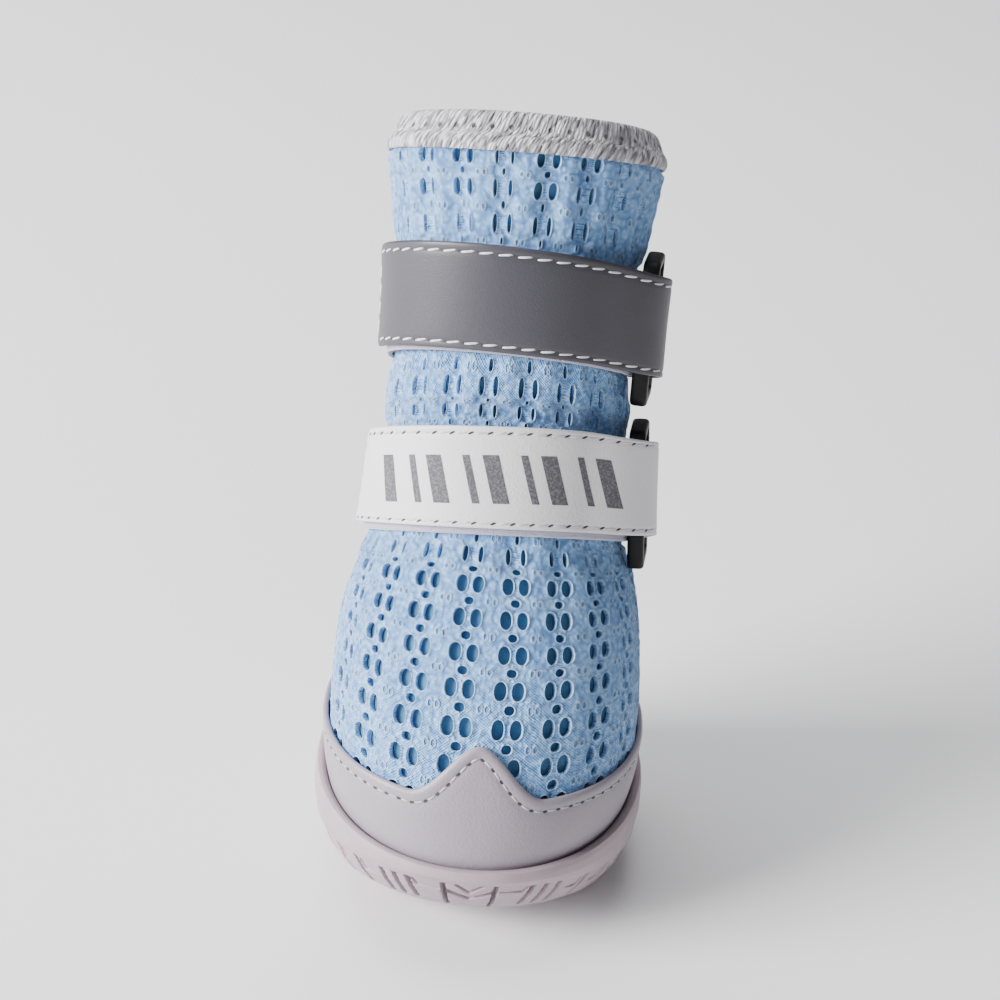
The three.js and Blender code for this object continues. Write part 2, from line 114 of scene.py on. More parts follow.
@dataclass(frozen=True)
class BootForm:
    """The upper's outer form as a fan of tilted sections.

    A level counts along the sections and an angle goes round them: 0 at +X and 90 degrees at the toe.
    """

    sections: tuple[Section, ...] = (
        Section("feather edge", -35.0, 14.0, 33.4, 6.2, 27.6, 2.05, 3.6),
        Section("rim", -37.6, 21.4, 35.6, 17.0, 30.6, 2.08, -1.8),
        Section("toe bulge", -37.0, 31.0, 36.6, 26.5, 31.6, 2.15, -0.6),
        Section("vamp", -32.0, 44.5, 36.8, 35.5, 31.6, 2.20),
        Section("instep", -22.0, 59.5, 36.8, 43.5, 30.6, 2.15),
        Section("ankle", -11.5, 71.5, 36.8, 49.5, 28.0, 2.10),
        Section("low strap bottom", -5.0, 80.0, 37.0, 53.0, 25.6, 2.10),
        Section("low strap top", -0.5, 100.0, 38.6, 73.0, 24.0, 2.10),
        Section("waist", 1.0, 107.0, 39.6, 80.5, 24.2, 2.10),
        Section("top strap bottom", 2.5, 114.0, 40.8, 88.5, 23.3, 2.10),
        Section("top strap top", 5.6, 134.0, 45.0, 109.0, 23.5, 2.10),
        Section("seam", 8.4, 151.4, 50.2, 130.0, 26.4, 2.10),
        Section("collar", 10.0, 155.6, 50.6, 135.0, 25.4, 2.10),
    )

    def level_of(self, name: str) -> int:
        """The level of a section by its name."""
        return [row.name for row in self.sections].index(name)

    @property
    def collar(self) -> int:
        """The level of the collar's edge."""
        return len(self.sections) - 1

    def row(self, level: Array) -> Array:
        """The sections' sizes at levels between them.

        Args:
            level: where to read the table.

        Returns:
            An array whose first axis holds the seven sizes of a section, without its name.
        """
        table = np.array([[r.front_y, r.front_z, r.back_y, r.back_z, r.half_width, r.power, r.sag]
                          for r in self.sections])
        table = np.vstack([2 * table[0] - table[1], table, 2 * table[-1] - table[-2]])
        level = np.asarray(level, float)
        base = np.clip(np.floor(level).astype(int), 0, self.collar - 1)
        s = (level - base)[..., None]
        a, b, c, d = (table[base + k] for k in range(4))
        square, cube = 2 * a - 5 * b + 4 * c - d, 3 * b - a - 3 * c + d
        value = 0.5 * (2 * b + (c - a) * s + square * s**2 + cube * s**3)
        return np.moveaxis(value, -1, 0)

    def point(self, level: Array, angle: Array) -> Array:
        """Points on the form, as rows of x, y and z.

        Args:
            level: where along the sections.
            angle: where round them.

        Returns:
            One point for each pair of level and angle.
        """
        level, angle = np.broadcast_arrays(np.asarray(level, float), np.asarray(angle, float))
        front_y, front_z, back_y, back_z, half_width, power, sag = self.row(level)
        cos, sin = np.cos(angle), np.sin(angle)
        reach = (np.abs(cos) ** power + np.abs(sin) ** power) ** (-1 / power)
        along = reach * sin / 2
        return np.stack([
            half_width * reach * cos,
            (front_y + back_y) / 2 + along * (front_y - back_y),
            (front_z + back_z) / 2 + along * (front_z - back_z) - sag * (1 - 4 * along**2),
        ], axis=-1)

    def normal(self, level: Array, angle: Array) -> Array:
        """The form's outward unit normals.

        Args:
            level: where along the sections.
            angle: where round them.

        Returns:
            One normal for each place.
        """
        step = 0.01
        round_ = self.point(level, angle + step) - self.point(level, angle - step)
        up = self.point(level + step, angle) - self.point(level - step, angle)
        normal = -np.cross(round_, up)
        return normal / np.linalg.norm(normal, axis=-1, keepdims=True)

    def offset(self, level: Array, angle: Array, distance: Array) -> Array:
        """Points that stand a distance off the form.

        Args:
            level: where along the sections.
            angle: where round them.
            distance: outward, in millimetres.

        Returns:
            One point for each place.
        """
        level, angle, distance = np.broadcast_arrays(level, angle, distance)
        level = np.asarray(level, float)
        return self.point(level, angle) + self.normal(level, angle) * distance[..., None]

    def pitch(self, level: Array, angle: Array) -> Array:
        """Millimetres from one level to the next.

        Args:
            level: where along the sections.
            angle: where round them.

        Returns:
            One length for each place.
        """
        step = 0.05
        level = np.asarray(level, float)
        way = self.point(level + step, angle) - self.point(level - step, angle)
        return np.linalg.norm(way, axis=-1) / (2 * step)


FORM = BootForm()


# ---------------------------------------------------------------- meshes


@dataclass
class Shape:
    """A mesh that is being gathered in millimetres, with optional values on its points."""

    name: str
    points: list[Array] = field(default_factory=list)
    faces: list[list[int]] = field(default_factory=list)
    values: dict[str, list[Array]] = field(default_factory=dict)
    count: int = 0

    def add(self, points: Array, faces: list[list[int]], **values: Array) -> None:
        """Adds points, faces that count from their first point, and values for the same points.

        Args:
            points: places in millimetres.
            faces: corners of each face.
            values: named values, one for each point.
        """
        points = np.asarray(points, float).reshape(-1, 3)
        self.points.append(points)
        self.faces.extend([[k + self.count for k in face] for face in faces])
        for key, value in values.items():
            self.values.setdefault(key, []).append(np.asarray(value, float).ravel())
        self.count += len(points)

    def add_grid(self, grid: Array, closed: tuple[bool, bool] = (False, False), caps: bool = False) -> None:
        """Adds a grid of points as quads.

        Args:
            grid: points in rows and columns.
            closed: whether the last row joins the first, and the last column the first.
            caps: whether the first and last rows are filled with a face each.
        """
        rows, cols = grid.shape[:2]
        faces = []
        for i in range(rows if closed[0] else rows - 1):
            for j in range(cols if closed[1] else cols - 1):
                i2, j2 = (i + 1) % rows, (j + 1) % cols
                faces.append([i * cols + j, i * cols + j2, i2 * cols + j2, i2 * cols + j])
        if caps:
            faces.append(list(range(cols))[::-1])
            faces.append([(rows - 1) * cols + j for j in range(cols)])
        self.add(grid, faces)

    def build(self, material: bpy.types.Material, sharp: float | None = None) -> bpy.types.Object:
        """Makes the Blender object.

        Args:
            material: the finish of the whole piece.
            sharp: edges that turn by more than this many degrees stay crisp.

        Returns:
            The new object, linked to the scene.
        """
        mesh = bpy.data.meshes.new(self.name)
        mesh.from_pydata((np.concatenate(self.points) * MM).tolist(), [], self.faces)
        for key, parts in self.values.items():
            mesh.attributes.new(key, "FLOAT", "POINT").data.foreach_set("value", np.concatenate(parts))
        mesh.validate()
        bpy_mesh_outward(mesh)
        mesh.shade_smooth()
        if sharp is not None:
            mesh.set_sharp_from_angle(angle=math.radians(sharp))
        piece = bpy.data.objects.new(self.name, mesh)
        bpy.context.scene.collection.objects.link(piece)
        mesh.materials.append(material)
        return piece


def bpy_mesh_outward(mesh: bpy.types.Mesh) -> None:
    """Turns the faces of a mesh so that neighbours agree and closed forms face out.

    Args:
        mesh: the mesh, which is changed.
    """
    work = bmesh.new()
    work.from_mesh(mesh)
    bmesh.ops.recalc_face_normals(work, faces=work.faces)
    work.to_mesh(mesh)
    work.free()


def place(piece: bpy.types.Object, slot: str, *nodes: str) -> bpy.types.Object:
    """Fixes a piece to the boot and hides the solids that it stands for.

    Args:
        piece: the new object.
        slot: the record's slot for its finish; not used.
        nodes: the solids that it replaces.

    Returns:
        The same piece.
    """
    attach(piece, "root")
    if nodes:
        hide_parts(*nodes)
    return piece


# ---------------------------------------------------------------- finishes


class Graph:
    """A material's node graph, with short ways to add and join its nodes."""

    def __init__(self, name: str) -> None:
        """Starts a material that holds only its surface shader.

        Args:
            name: of the material.
        """
        self.material = bpy.data.materials.new(name)
        self.material.use_nodes = True
        self.tree = self.material.node_tree
        self.shader = self.tree.nodes["Principled BSDF"]
        self.place = self.node("ShaderNodeTexCoord").outputs["Object"]

    def node(self, kind: str, inputs: dict | None = None, **settings: object) -> bpy.types.Node:
        """Adds a node.

        Args:
            kind: Blender's name for the node.
            inputs: values for its sockets, or sockets that feed them, by socket name or number.
            settings: the node's own properties.

        Returns:
            The new node.
        """
        made = self.tree.nodes.new(kind)
        for key, value in settings.items():
            setattr(made, key, value)
        for key, value in (inputs or {}).items():
            if isinstance(value, bpy.types.NodeSocket):
                self.tree.links.new(value, made.inputs[key])
            else:
                made.inputs[key].default_value = value
        return made

    def noise(self, size_mm: float, detail: float = 2.0) -> bpy.types.NodeSocket:
        """Cloudy noise whose patches have a size in millimetres."""
        inputs = {"Vector": self.place, "Scale": 1000 / size_mm, "Detail": detail}
        return self.node("ShaderNodeTexNoise", inputs).outputs["Fac"]

    def cells(self, size_mm: float, output: str = "Distance", feature: str = "F1") -> bpy.types.NodeSocket:
        """Cells of a size in millimetres: the distance in each, or its own random colour."""
        return self.node("ShaderNodeTexVoronoi", {"Vector": self.place, "Scale": 1000 / size_mm},
                         feature=feature).outputs[output]

    def weave(self, size_mm: float, turn: tuple[float, float, float]) -> bpy.types.NodeSocket:
        """Ribs of a pitch in millimetres, along a turned direction.

        Args:
            size_mm: from rib to rib.
            turn: rotation of the ribs, in radians.

        Returns:
            The height of the ribs.
        """
        turned = self.node("ShaderNodeMapping", {"Vector": self.place, "Rotation": turn}).outputs["Vector"]
        inputs = {"Vector": turned, "Scale": 1000 / size_mm / 20,
                  "Distortion": 1.2, "Detail": 1.0, "Detail Scale": 2.0}
        return self.node("ShaderNodeTexWave", inputs).outputs["Fac"]

    def value(self, name: str) -> bpy.types.NodeSocket:
        """A value that the mesh holds on its points."""
        return self.node("ShaderNodeAttribute", attribute_name=name).outputs["Fac"]

    def reach(self, u: object, v: object, spot: tuple[float, float], radii: tuple[float, float]
              ) -> bpy.types.NodeSocket:
        """Distance of a place from a spot, counted in the spot's own radii.

        Args:
            u: the place's first coordinate.
            v: its second coordinate.
            spot: the spot's middle in the same coordinates.
            radii: the spot's radii.

        Returns:
            0 in the middle, 1 on the spot's rim.
        """
        du = self.over(self.less(u, spot[0]), radii[0])
        dv = self.over(self.less(v, spot[1]), radii[1])
        return self.math("SQRT", self.plus(self.times(du, du), self.times(dv, dv)))

    def within(self, reach: object, edge: float) -> bpy.types.NodeSocket:
        """1 inside a reach of 1, falling to 0 over a soft edge."""
        made = self.node("ShaderNodeMapRange", {0: reach, 1: 1.0 - edge, 2: 1.0 + edge, 3: 1.0, 4: 0.0})
        return made.outputs[0]

    def math(self, operation: str, *values: object) -> bpy.types.NodeSocket:
        """One sum of a Math node."""
        return self.node("ShaderNodeMath", dict(enumerate(values)), operation=operation).outputs[0]

    def times(self, a: object, b: object) -> bpy.types.NodeSocket:
        """a times b."""
        return self.math("MULTIPLY", a, b)

    def plus(self, a: object, b: object) -> bpy.types.NodeSocket:
        """a plus b."""
        return self.math("ADD", a, b)

    def less(self, a: object, b: object) -> bpy.types.NodeSocket:
        """a less b."""
        return self.math("SUBTRACT", a, b)

    def over(self, a: object, b: object) -> bpy.types.NodeSocket:
        """a divided by b."""
        return self.math("DIVIDE", a, b)

    def ramp(self, factor: bpy.types.NodeSocket, stops: list[tuple[float, Colour]]) -> bpy.types.NodeSocket:
        """Colours spread over a factor.

        Args:
            factor: the socket that chooses the colour.
            stops: places from 0 to 1 with their colours.

        Returns:
            The colour's socket.
        """
        made = self.node("ShaderNodeValToRGB", {"Fac": factor})
        ramp = made.color_ramp
        while len(ramp.elements) < len(stops):
            ramp.elements.new(0.5)
        for element, (place_, colour) in zip(ramp.elements, stops):
            element.position = place_
            element.color = (*colour, 1.0)
        return made.outputs["Color"]

    def blend(self, factor: object, a: object, b: object) -> bpy.types.NodeSocket:
        """Colour a turning into colour b.

        Args:
            factor: 0 for a and 1 for b, a socket or a number.
            a: a colour or its socket.
            b: a colour or its socket.

        Returns:
            The colour's socket.
        """
        made = self.node("ShaderNodeMix", data_type="RGBA")
        for key, value in ((0, factor), (6, a), (7, b)):
            if isinstance(value, bpy.types.NodeSocket):
                self.tree.links.new(value, made.inputs[key])
            else:
                made.inputs[key].default_value = value if key == 0 else (*value, 1.0)
        return made.outputs[2]

    def finish(self, colour: object, roughness: float, relief: object, depth_mm: float, **sockets: float
               ) -> bpy.types.Material:
        """Joins the graph to its shader.

        Args:
            colour: the base colour's socket or value.
            roughness: of the bare surface.
            relief: the height's socket, or None for a bare surface.
            depth_mm: how deep the relief goes.
            sockets: constants for the shader's other sockets, with _ for each space.

        Returns:
            The finished material.
        """
        if isinstance(colour, bpy.types.NodeSocket):
            self.tree.links.new(colour, self.shader.inputs["Base Color"])
        else:
            self.shader.inputs["Base Color"].default_value = (*colour, 1.0)
        self.shader.inputs["Roughness"].default_value = roughness
        if relief is not None:
            bump = self.node("ShaderNodeBump", {"Height": relief, "Distance": depth_mm * MM, "Strength": 1.0})
            self.tree.links.new(bump.outputs["Normal"], self.shader.inputs["Normal"])
        for key, value in sockets.items():
            self.shader.inputs[key.replace("_", " ")].default_value = value
        return self.material


@dataclass(frozen=True)
class AirKnit:
    """Warp-knit air mesh: sky-blue strands with painted highlight and shade on their bumps, loops, dimples
    and hole rims, and pairs of small knitted loops.
    """

    name: str = "air_mesh_knit"
    # the first colour is the knit's own blue; the second is painted shade and the third a painted highlight
    strand: Colour = (0.27, 0.52, 0.92)
    painted_shade_blue: Colour = (0.09, 0.25, 0.60)
    rim: Colour = (0.56, 0.78, 1.0)
    stitch_mm: float = 0.45
    bump_mm: float = 0.95
    row_mm: float = 7.2
    half_mm: float = 4.6
    loop_side: float = 0.66
    loop_at: float = 0.8125

    def build(self) -> bpy.types.Material:
        """Makes the material.

        Returns:
            The finished material.
        """
        g = Graph(self.name)
        wale, course = g.value("wale"), g.value("course")
        row = g.times(g.math("FRACT", g.over(course, self.row_mm)), self.row_mm)
        middle = (self.half_mm - self.loop_side, self.loop_at * self.row_mm)
        loop = g.reach(wale, row, middle, (0.50, 0.78))
        # ring and pit paint a highlight on the loop's raised ring and shade in its sunken middle
        ring = g.within(g.times(g.math("ABSOLUTE", g.less(loop, 1.0)), 3.2), 0.5)
        pit = g.within(g.times(loop, 1.7), 0.3)
        dots = g.times(g.math("SINE", g.times(wale, 2 * math.pi / 0.62)),
                      g.math("SINE", g.times(course, 2 * math.pi / 0.55)))
        # the bumps raise the knit and also paint a highlight on their tops and shade at their edges
        bumps = g.less(1.0, g.times(g.cells(self.bump_mm, feature="SMOOTH_F1"), 1.5))
        dots = g.plus(g.times(dots, 0.2), g.times(g.noise(self.stitch_mm, 3.0), 0.5))
        # rim marks the hole rims for a painted highlight, and the dimple value marks the dimples for painted
        # shade
        rim, slope = g.value("rim"), g.value("dimple")
        tone = g.plus(g.times(bumps, 0.6), g.times(dots, 0.7))
        tone = g.plus(tone, g.times(g.less(g.noise(8.0), 0.5), 0.5))
        # the tone runs from painted shade through the knit's own blue to a painted highlight; its dots and
        # slow noise are partly the knit's own stitches and patches
        colour = g.ramp(tone, [(0.12, self.painted_shade_blue), (0.5, self.strand), (0.92, self.rim)])
        colour = g.blend(g.times(slope, 0.35), colour, self.painted_shade_blue)
        colour = g.blend(g.times(ring, 0.35), colour, self.rim)
        colour = g.blend(g.times(pit, 0.8), colour, self.painted_shade_blue)
        colour = g.blend(g.times(rim, g.plus(0.15, g.noise(0.8, 2.0))), colour, self.rim)
        relief = g.plus(g.times(bumps, 0.9), dots)
        relief = g.plus(relief, g.less(g.times(ring, 0.5), pit))
        return g.finish(colour, 0.85, relief, 0.55, Sheen_Weight=0.2, Sheen_Roughness=0.5)


@dataclass(frozen=True)
class Cloth:
    """A plain woven or napped cloth with two tones and fine ribs."""

    name: str
    colour: Colour
    shade: Colour
    rib_mm: float = 0.6
    roughness: float = 0.9

    def build(self) -> bpy.types.Material:
        """Makes the material.

        Returns:
            The finished material.
        """
        g = Graph(self.name)
        ribs = g.times(g.weave(self.rib_mm, (0.0, 0.0, 0.0)), g.weave(self.rib_mm, (0.0, 1.2, 0.7)))
        tone = g.plus(g.times(g.noise(6.0), 0.7), g.times(ribs, 0.4))
        relief = g.plus(ribs, g.times(g.noise(0.35, 3.0), 0.6))
        colour = g.blend(tone, self.shade, self.colour)
        return g.finish(colour, self.roughness, relief, 0.25, Sheen_Weight=0.2)


@dataclass(frozen=True)
class SyntheticLeather:
    """Coated synthetic leather: a fine even grain under a satin skin."""

    name: str
    colour: Colour
    shade: Colour
    roughness: float = 0.42
    grain_mm: float = 0.5
    depth_mm: float = 0.05

    def build(self) -> bpy.types.Material:
        """Makes the material.

        Returns:
            The finished material.
        """
        g = Graph(self.name)
        mottle = g.plus(g.times(g.noise(14.0, 3.0), 0.8), g.times(g.noise(1.2), 0.3))
        grain = g.plus(g.cells(self.grain_mm, feature="SMOOTH_F1"), g.noise(0.25, 2.0))
        colour = g.blend(mottle, self.shade, self.colour)
        return g.finish(colour, self.roughness, grain, self.depth_mm, Coat_Weight=0.12, Coat_Roughness=0.35)


@dataclass(frozen=True)
class LoopPile:
    """The soft loop side of a hook and loop tape."""

    name: str = "loop_pile"
    colour: Colour = (0.60, 0.58, 0.72)
    shade: Colour = (0.40, 0.38, 0.50)

    def build(self) -> bpy.types.Material:
        """Makes the material.

        Returns:
            The finished material.
        """
        g = Graph(self.name)
        fuzz = g.noise(0.3, 4.0)
        colour = g.blend(g.plus(g.times(fuzz, 0.7), g.times(g.noise(4.0), 0.3)),
                         self.shade, self.colour)
        return g.finish(colour, 0.95, fuzz, 0.5, Sheen_Weight=0.5)


@dataclass(frozen=True)
class HeatherKnit:
    """A knit of slanted yarns in pale and mid grey, with painted shade in the valleys between its yarns and
    in a row of needle holes near its fold.
    """

    name: str = "heather_knit"
    pale: Colour = (0.62, 0.61, 0.66)
    grey: Colour = (0.26, 0.25, 0.28)
    dark: Colour = (0.07, 0.065, 0.08)
    white: Colour = (0.84, 0.84, 0.87)
    hole_pitch: float = 3.8
    hole_at: float = 5.6

    def build(self) -> bpy.types.Material:
        """Makes the material.

        Returns:
            The finished material.
        """
        g = Graph(self.name)
        around, across = g.value("around"), g.value("across")
        lean = g.plus(around, g.times(across, 0.55))
        flat = g.node("ShaderNodeCombineXYZ", {0: g.over(lean, 0.62), 1: g.over(across, 1.45)})
        cell = g.node("ShaderNodeTexVoronoi", {"Vector": flat.outputs[0], "Scale": 1.0}, feature="F1")
        yarn = g.node("ShaderNodeSeparateColor", {"Color": cell.outputs["Color"]}).outputs[0]
        tone = g.plus(g.times(yarn, 0.8), g.times(g.noise(0.9, 3.0), 0.35))
        stops = [(0.14, self.dark), (0.40, self.grey), (0.66, self.pale), (1.0, self.white)]
        colour = g.ramp(tone, stops)
        # the valleys between yarns, low in the relief, turn grey: painted shade
        valley_shade = g.within(g.less(1.55, cell.outputs["Distance"]), 0.18)
        colour = g.blend(g.times(valley_shade, 0.7), colour, self.grey)
        # the needle holes are sunk and painted almost black: painted shade inside the holes
        place_ = g.times(g.math("FRACT", g.over(around, self.hole_pitch)), self.hole_pitch)
        hole = g.within(g.reach(place_, across, (self.hole_pitch / 2, self.hole_at), (0.42, 0.30)), 0.3)
        colour = g.blend(g.times(hole, 0.85), colour, (0.06, 0.055, 0.07))
        relief = g.less(g.times(g.noise(0.3, 3.0), 0.4), cell.outputs["Distance"])
        relief = g.less(relief, hole)
        return g.finish(colour, 0.95, relief, 0.55, Sheen_Weight=0.2)


@dataclass(frozen=True)
class Rubber:
    """Moulded rubber with a faint bloom, and painted shade in its grooves."""

    name: str = "sole_rubber"
    colour: Colour = (0.43, 0.35, 0.38)
    shade: Colour = (0.34, 0.265, 0.31)

    def build(self) -> bpy.types.Material:
        """Makes the material.

        Returns:
            The finished material.
        """
        g = Graph(self.name)
        groove = g.value("groove")
        bloom = g.blend(g.noise(7.0, 3.0), self.shade, self.colour)
        # the grooves are darkened by their depth: painted shade
        colour = g.blend(g.times(groove, 0.8), bloom, (0.13, 0.095, 0.12))
        relief = g.plus(g.noise(0.4, 3.0), g.times(g.noise(2.0), 0.6))
        return g.finish(colour, 0.55, relief, 0.04, Subsurface_Weight=0.05, Subsurface_Scale=0.001)


@dataclass(frozen=True)
class MouldedPlastic:
    """Black moulded plastic with a fine spark-eroded grain."""

    name: str = "black_plastic"
    colour: Colour = (0.003, 0.003, 0.0035)
    roughness: float = 0.5

    def build(self) -> bpy.types.Material:
        """Makes the material.

        Returns:
            The finished material.
        """
        g = Graph(self.name)
        colour = g.blend(g.noise(3.0), self.colour, (0.006, 0.006, 0.007))
        return g.finish(colour, self.roughness, g.noise(0.22, 2.0), 0.03, Specular_IOR_Level=0.25)


@dataclass(frozen=True)
class Thread:
    """Spun sewing thread, or the painted shade of a needle hole."""

    name: str
    colour: Colour
    roughness: float = 0.7

    def build(self) -> bpy.types.Material:
        """Makes the material.

        Returns:
            The finished material.
        """
        g = Graph(self.name)
        twist = g.weave(0.25, (0.5, 0.3, 0.9))
        colour = g.blend(twist, tuple(0.75 * c for c in self.colour), self.colour)
        return g.finish(colour, self.roughness, twist, 0.06)


@dataclass(frozen=True)
class PrintInk:
    """Grey screen-printing ink with a fine speckle of what is under it."""

    name: str = "print_ink"
    colour: Colour = (0.075, 0.072, 0.085)
    ground: Colour = (0.15, 0.145, 0.16)

    def build(self) -> bpy.types.Material:
        """Makes the material.

        Returns:
            The finished material.
        """
        g = Graph(self.name)
        speckle = g.ramp(g.noise(0.45, 2.0), [(0.45, self.colour), (0.62, self.ground)])
        return g.finish(speckle, 0.6, g.noise(0.3), 0.03)


# ---------------------------------------------------------------- sewing


@dataclass(frozen=True)
class Seam:
    """A row of lockstitch: slanted threads with a long needle hole, a flat dark disc of painted shade, in
    each gap between them.
    """

    period: float
    stitch: float
    thread_r: float = 0.2
    hole_long: float = 0.45
    hole_wide: float = 0.3
    slant: float = 0.0

    def sew(self, thread: Shape, holes: Shape, path: Array, normals: Array) -> None:
        """Sews along a path on a surface.

        Args:
            thread: the shape that gathers the threads.
            holes: the shape that gathers the needle holes' discs of painted shade.
            path: points on the surface, in order.
            normals: the surface's unit normals at those points.
        """
        along = curve_length(path)
        both = np.hstack([path, normals])
        turn = np.linspace(0, 2 * math.pi, 8, endpoint=False)
        share = np.linspace(0, 1, 7)
        lean = math.tan(math.radians(self.slant)) * self.stitch * (share - 0.5)
        arch = np.sin(math.pi * share) ** 0.5
        for start in np.arange((along[-1] % self.period) / 2, along[-1] - self.stitch, self.period):
            places = np.concatenate([start + share * self.stitch, [start + (self.stitch + self.period) / 2]])
            row = np.stack([np.interp(places, along, both[:, k]) for k in range(6)], 1)
            normal = row[:, 3:] / np.linalg.norm(row[:, 3:], axis=1, keepdims=True)
            ahead = (row[6, :3] - row[0, :3]) / np.linalg.norm(row[6, :3] - row[0, :3])
            side = np.cross(ahead, normal)
            side /= np.linalg.norm(side, axis=1, keepdims=True)
            radius = self.thread_r * (0.55 + 0.45 * arch)
            lift = 0.16 * arch - 0.12 + self.thread_r * 0.4
            centre = row[:7, :3] + normal[:7] * lift[:, None] + side[:7] * lean[:, None]
            round_ = (np.cos(turn)[None, :, None] * side[:7, None]
                      + 0.8 * np.sin(turn)[None, :, None] * normal[:7, None])
            thread.add_grid(centre[:, None] + radius[:, None, None] * round_, (False, True), caps=True)
            # each needle hole is a flat dark disc just above the surface: painted shade
            middle = row[7, :3] + normal[7] * 0.11
            tip = ahead + side[7] * math.tan(math.radians(2.5 * self.slant))
            holes.add(middle + self.hole_long * np.cos(turn)[:, None] * tip
                      + self.hole_wide * np.sin(turn)[:, None] * side[7], [list(range(8))])


# ---------------------------------------------------------------- air mesh


@dataclass(frozen=True)
class Hole:
    """One hole of the mesh's repeat, with its centre and radii as shares of the repeat."""

    x: float
    y: float
    rx: float
    ry: float
    sides: int


@dataclass
class Repeat:
    """The mesh's repeat: a pair of tall holes, with one small hole between a pair and the next."""

    width: float = 9.2
    height: float = 7.2
    holes: tuple[Hole, ...] = (
        Hole(0.32, 0.3125, 0.128, 0.275, 16),
        Hole(0.68, 0.3125, 0.128, 0.275, 16),
        Hole(0.5, 0.8125, 0.108, 0.13, 12),
    )
    rim: float = 0.22

    SQUARE = 2.2

    def __post_init__(self) -> None:
        """Works out the repeat's points and faces once."""
        places: list[tuple[float, float]] = []
        kind: list[tuple[int, float, float]] = []
        edges: list[tuple[int, int]] = []
        columns, rows = 9, 7
        border = [(k / columns, 0.0) for k in range(columns)] + [(1.0, k / rows) for k in range(rows)]
        border += [(1 - k / columns, 1.0) for k in range(columns)]
        border += [(0.0, 1 - k / rows) for k in range(rows)]
        for k, (x, y) in enumerate(border):
            places.append((x * self.width, y * self.height))
            edges.append((k, (k + 1) % len(border)))
        kind += [(-1, 0.0, 0.0)] * len(border)
        for number, hole in enumerate(self.holes):
            first = len(places)
            for k in range(hole.sides):
                turn = 2 * math.pi * k / hole.sides
                unit = (math.cos(turn), math.sin(turn))
                dx, dy = (math.copysign(abs(part) ** (2 / self.SQUARE), part) for part in unit)
                dx *= hole.rx * self.width + self.rim
                dy *= hole.ry * self.height + self.rim
                places.append((hole.x * self.width + dx, hole.y * self.height + dy))
                kind.append((number, *unit))
                edges.append((first + k, first + (k + 1) % hole.sides))
        for x in np.arange(0.5, self.width, 0.9):
            for y in np.arange(0.45, self.height, 0.86):
                if self.clearance(x, y) > 0.35:
                    places.append((x, y))
                    kind.append((-1, 0.0, 0.0))
        points, _, faces = delaunay_2d_cdt([Vector(p) for p in places], edges, [], 0, 1e-5)[:3]
        if len(points) != len(places):
            raise RuntimeError("the repeat's points merged")
        self.flat = np.array(places)
        self.kind = kind
        self.faces = [list(f) for f in faces if self.clearance(*(self.flat[list(f)].mean(axis=0))) > -0.02]

    def clearance(self, x: float, y: float) -> float:
        """Millimetres from a place to the nearest hole's rim, negative inside one.

        Args:
            x: across the repeat.
            y: up the repeat.

        Returns:
            The distance.
        """
        nearest = 1e9
        for hole in self.holes:
            a, b = hole.rx * self.width + self.rim, hole.ry * self.height + self.rim
            dx, dy = x - hole.x * self.width, y - hole.y * self.height
            reach = (abs(dx / a) ** self.SQUARE + abs(dy / b) ** self.SQUARE) ** (1 / self.SQUARE)
            nearest = min(nearest, (reach - 1) * min(a, b))
        return nearest


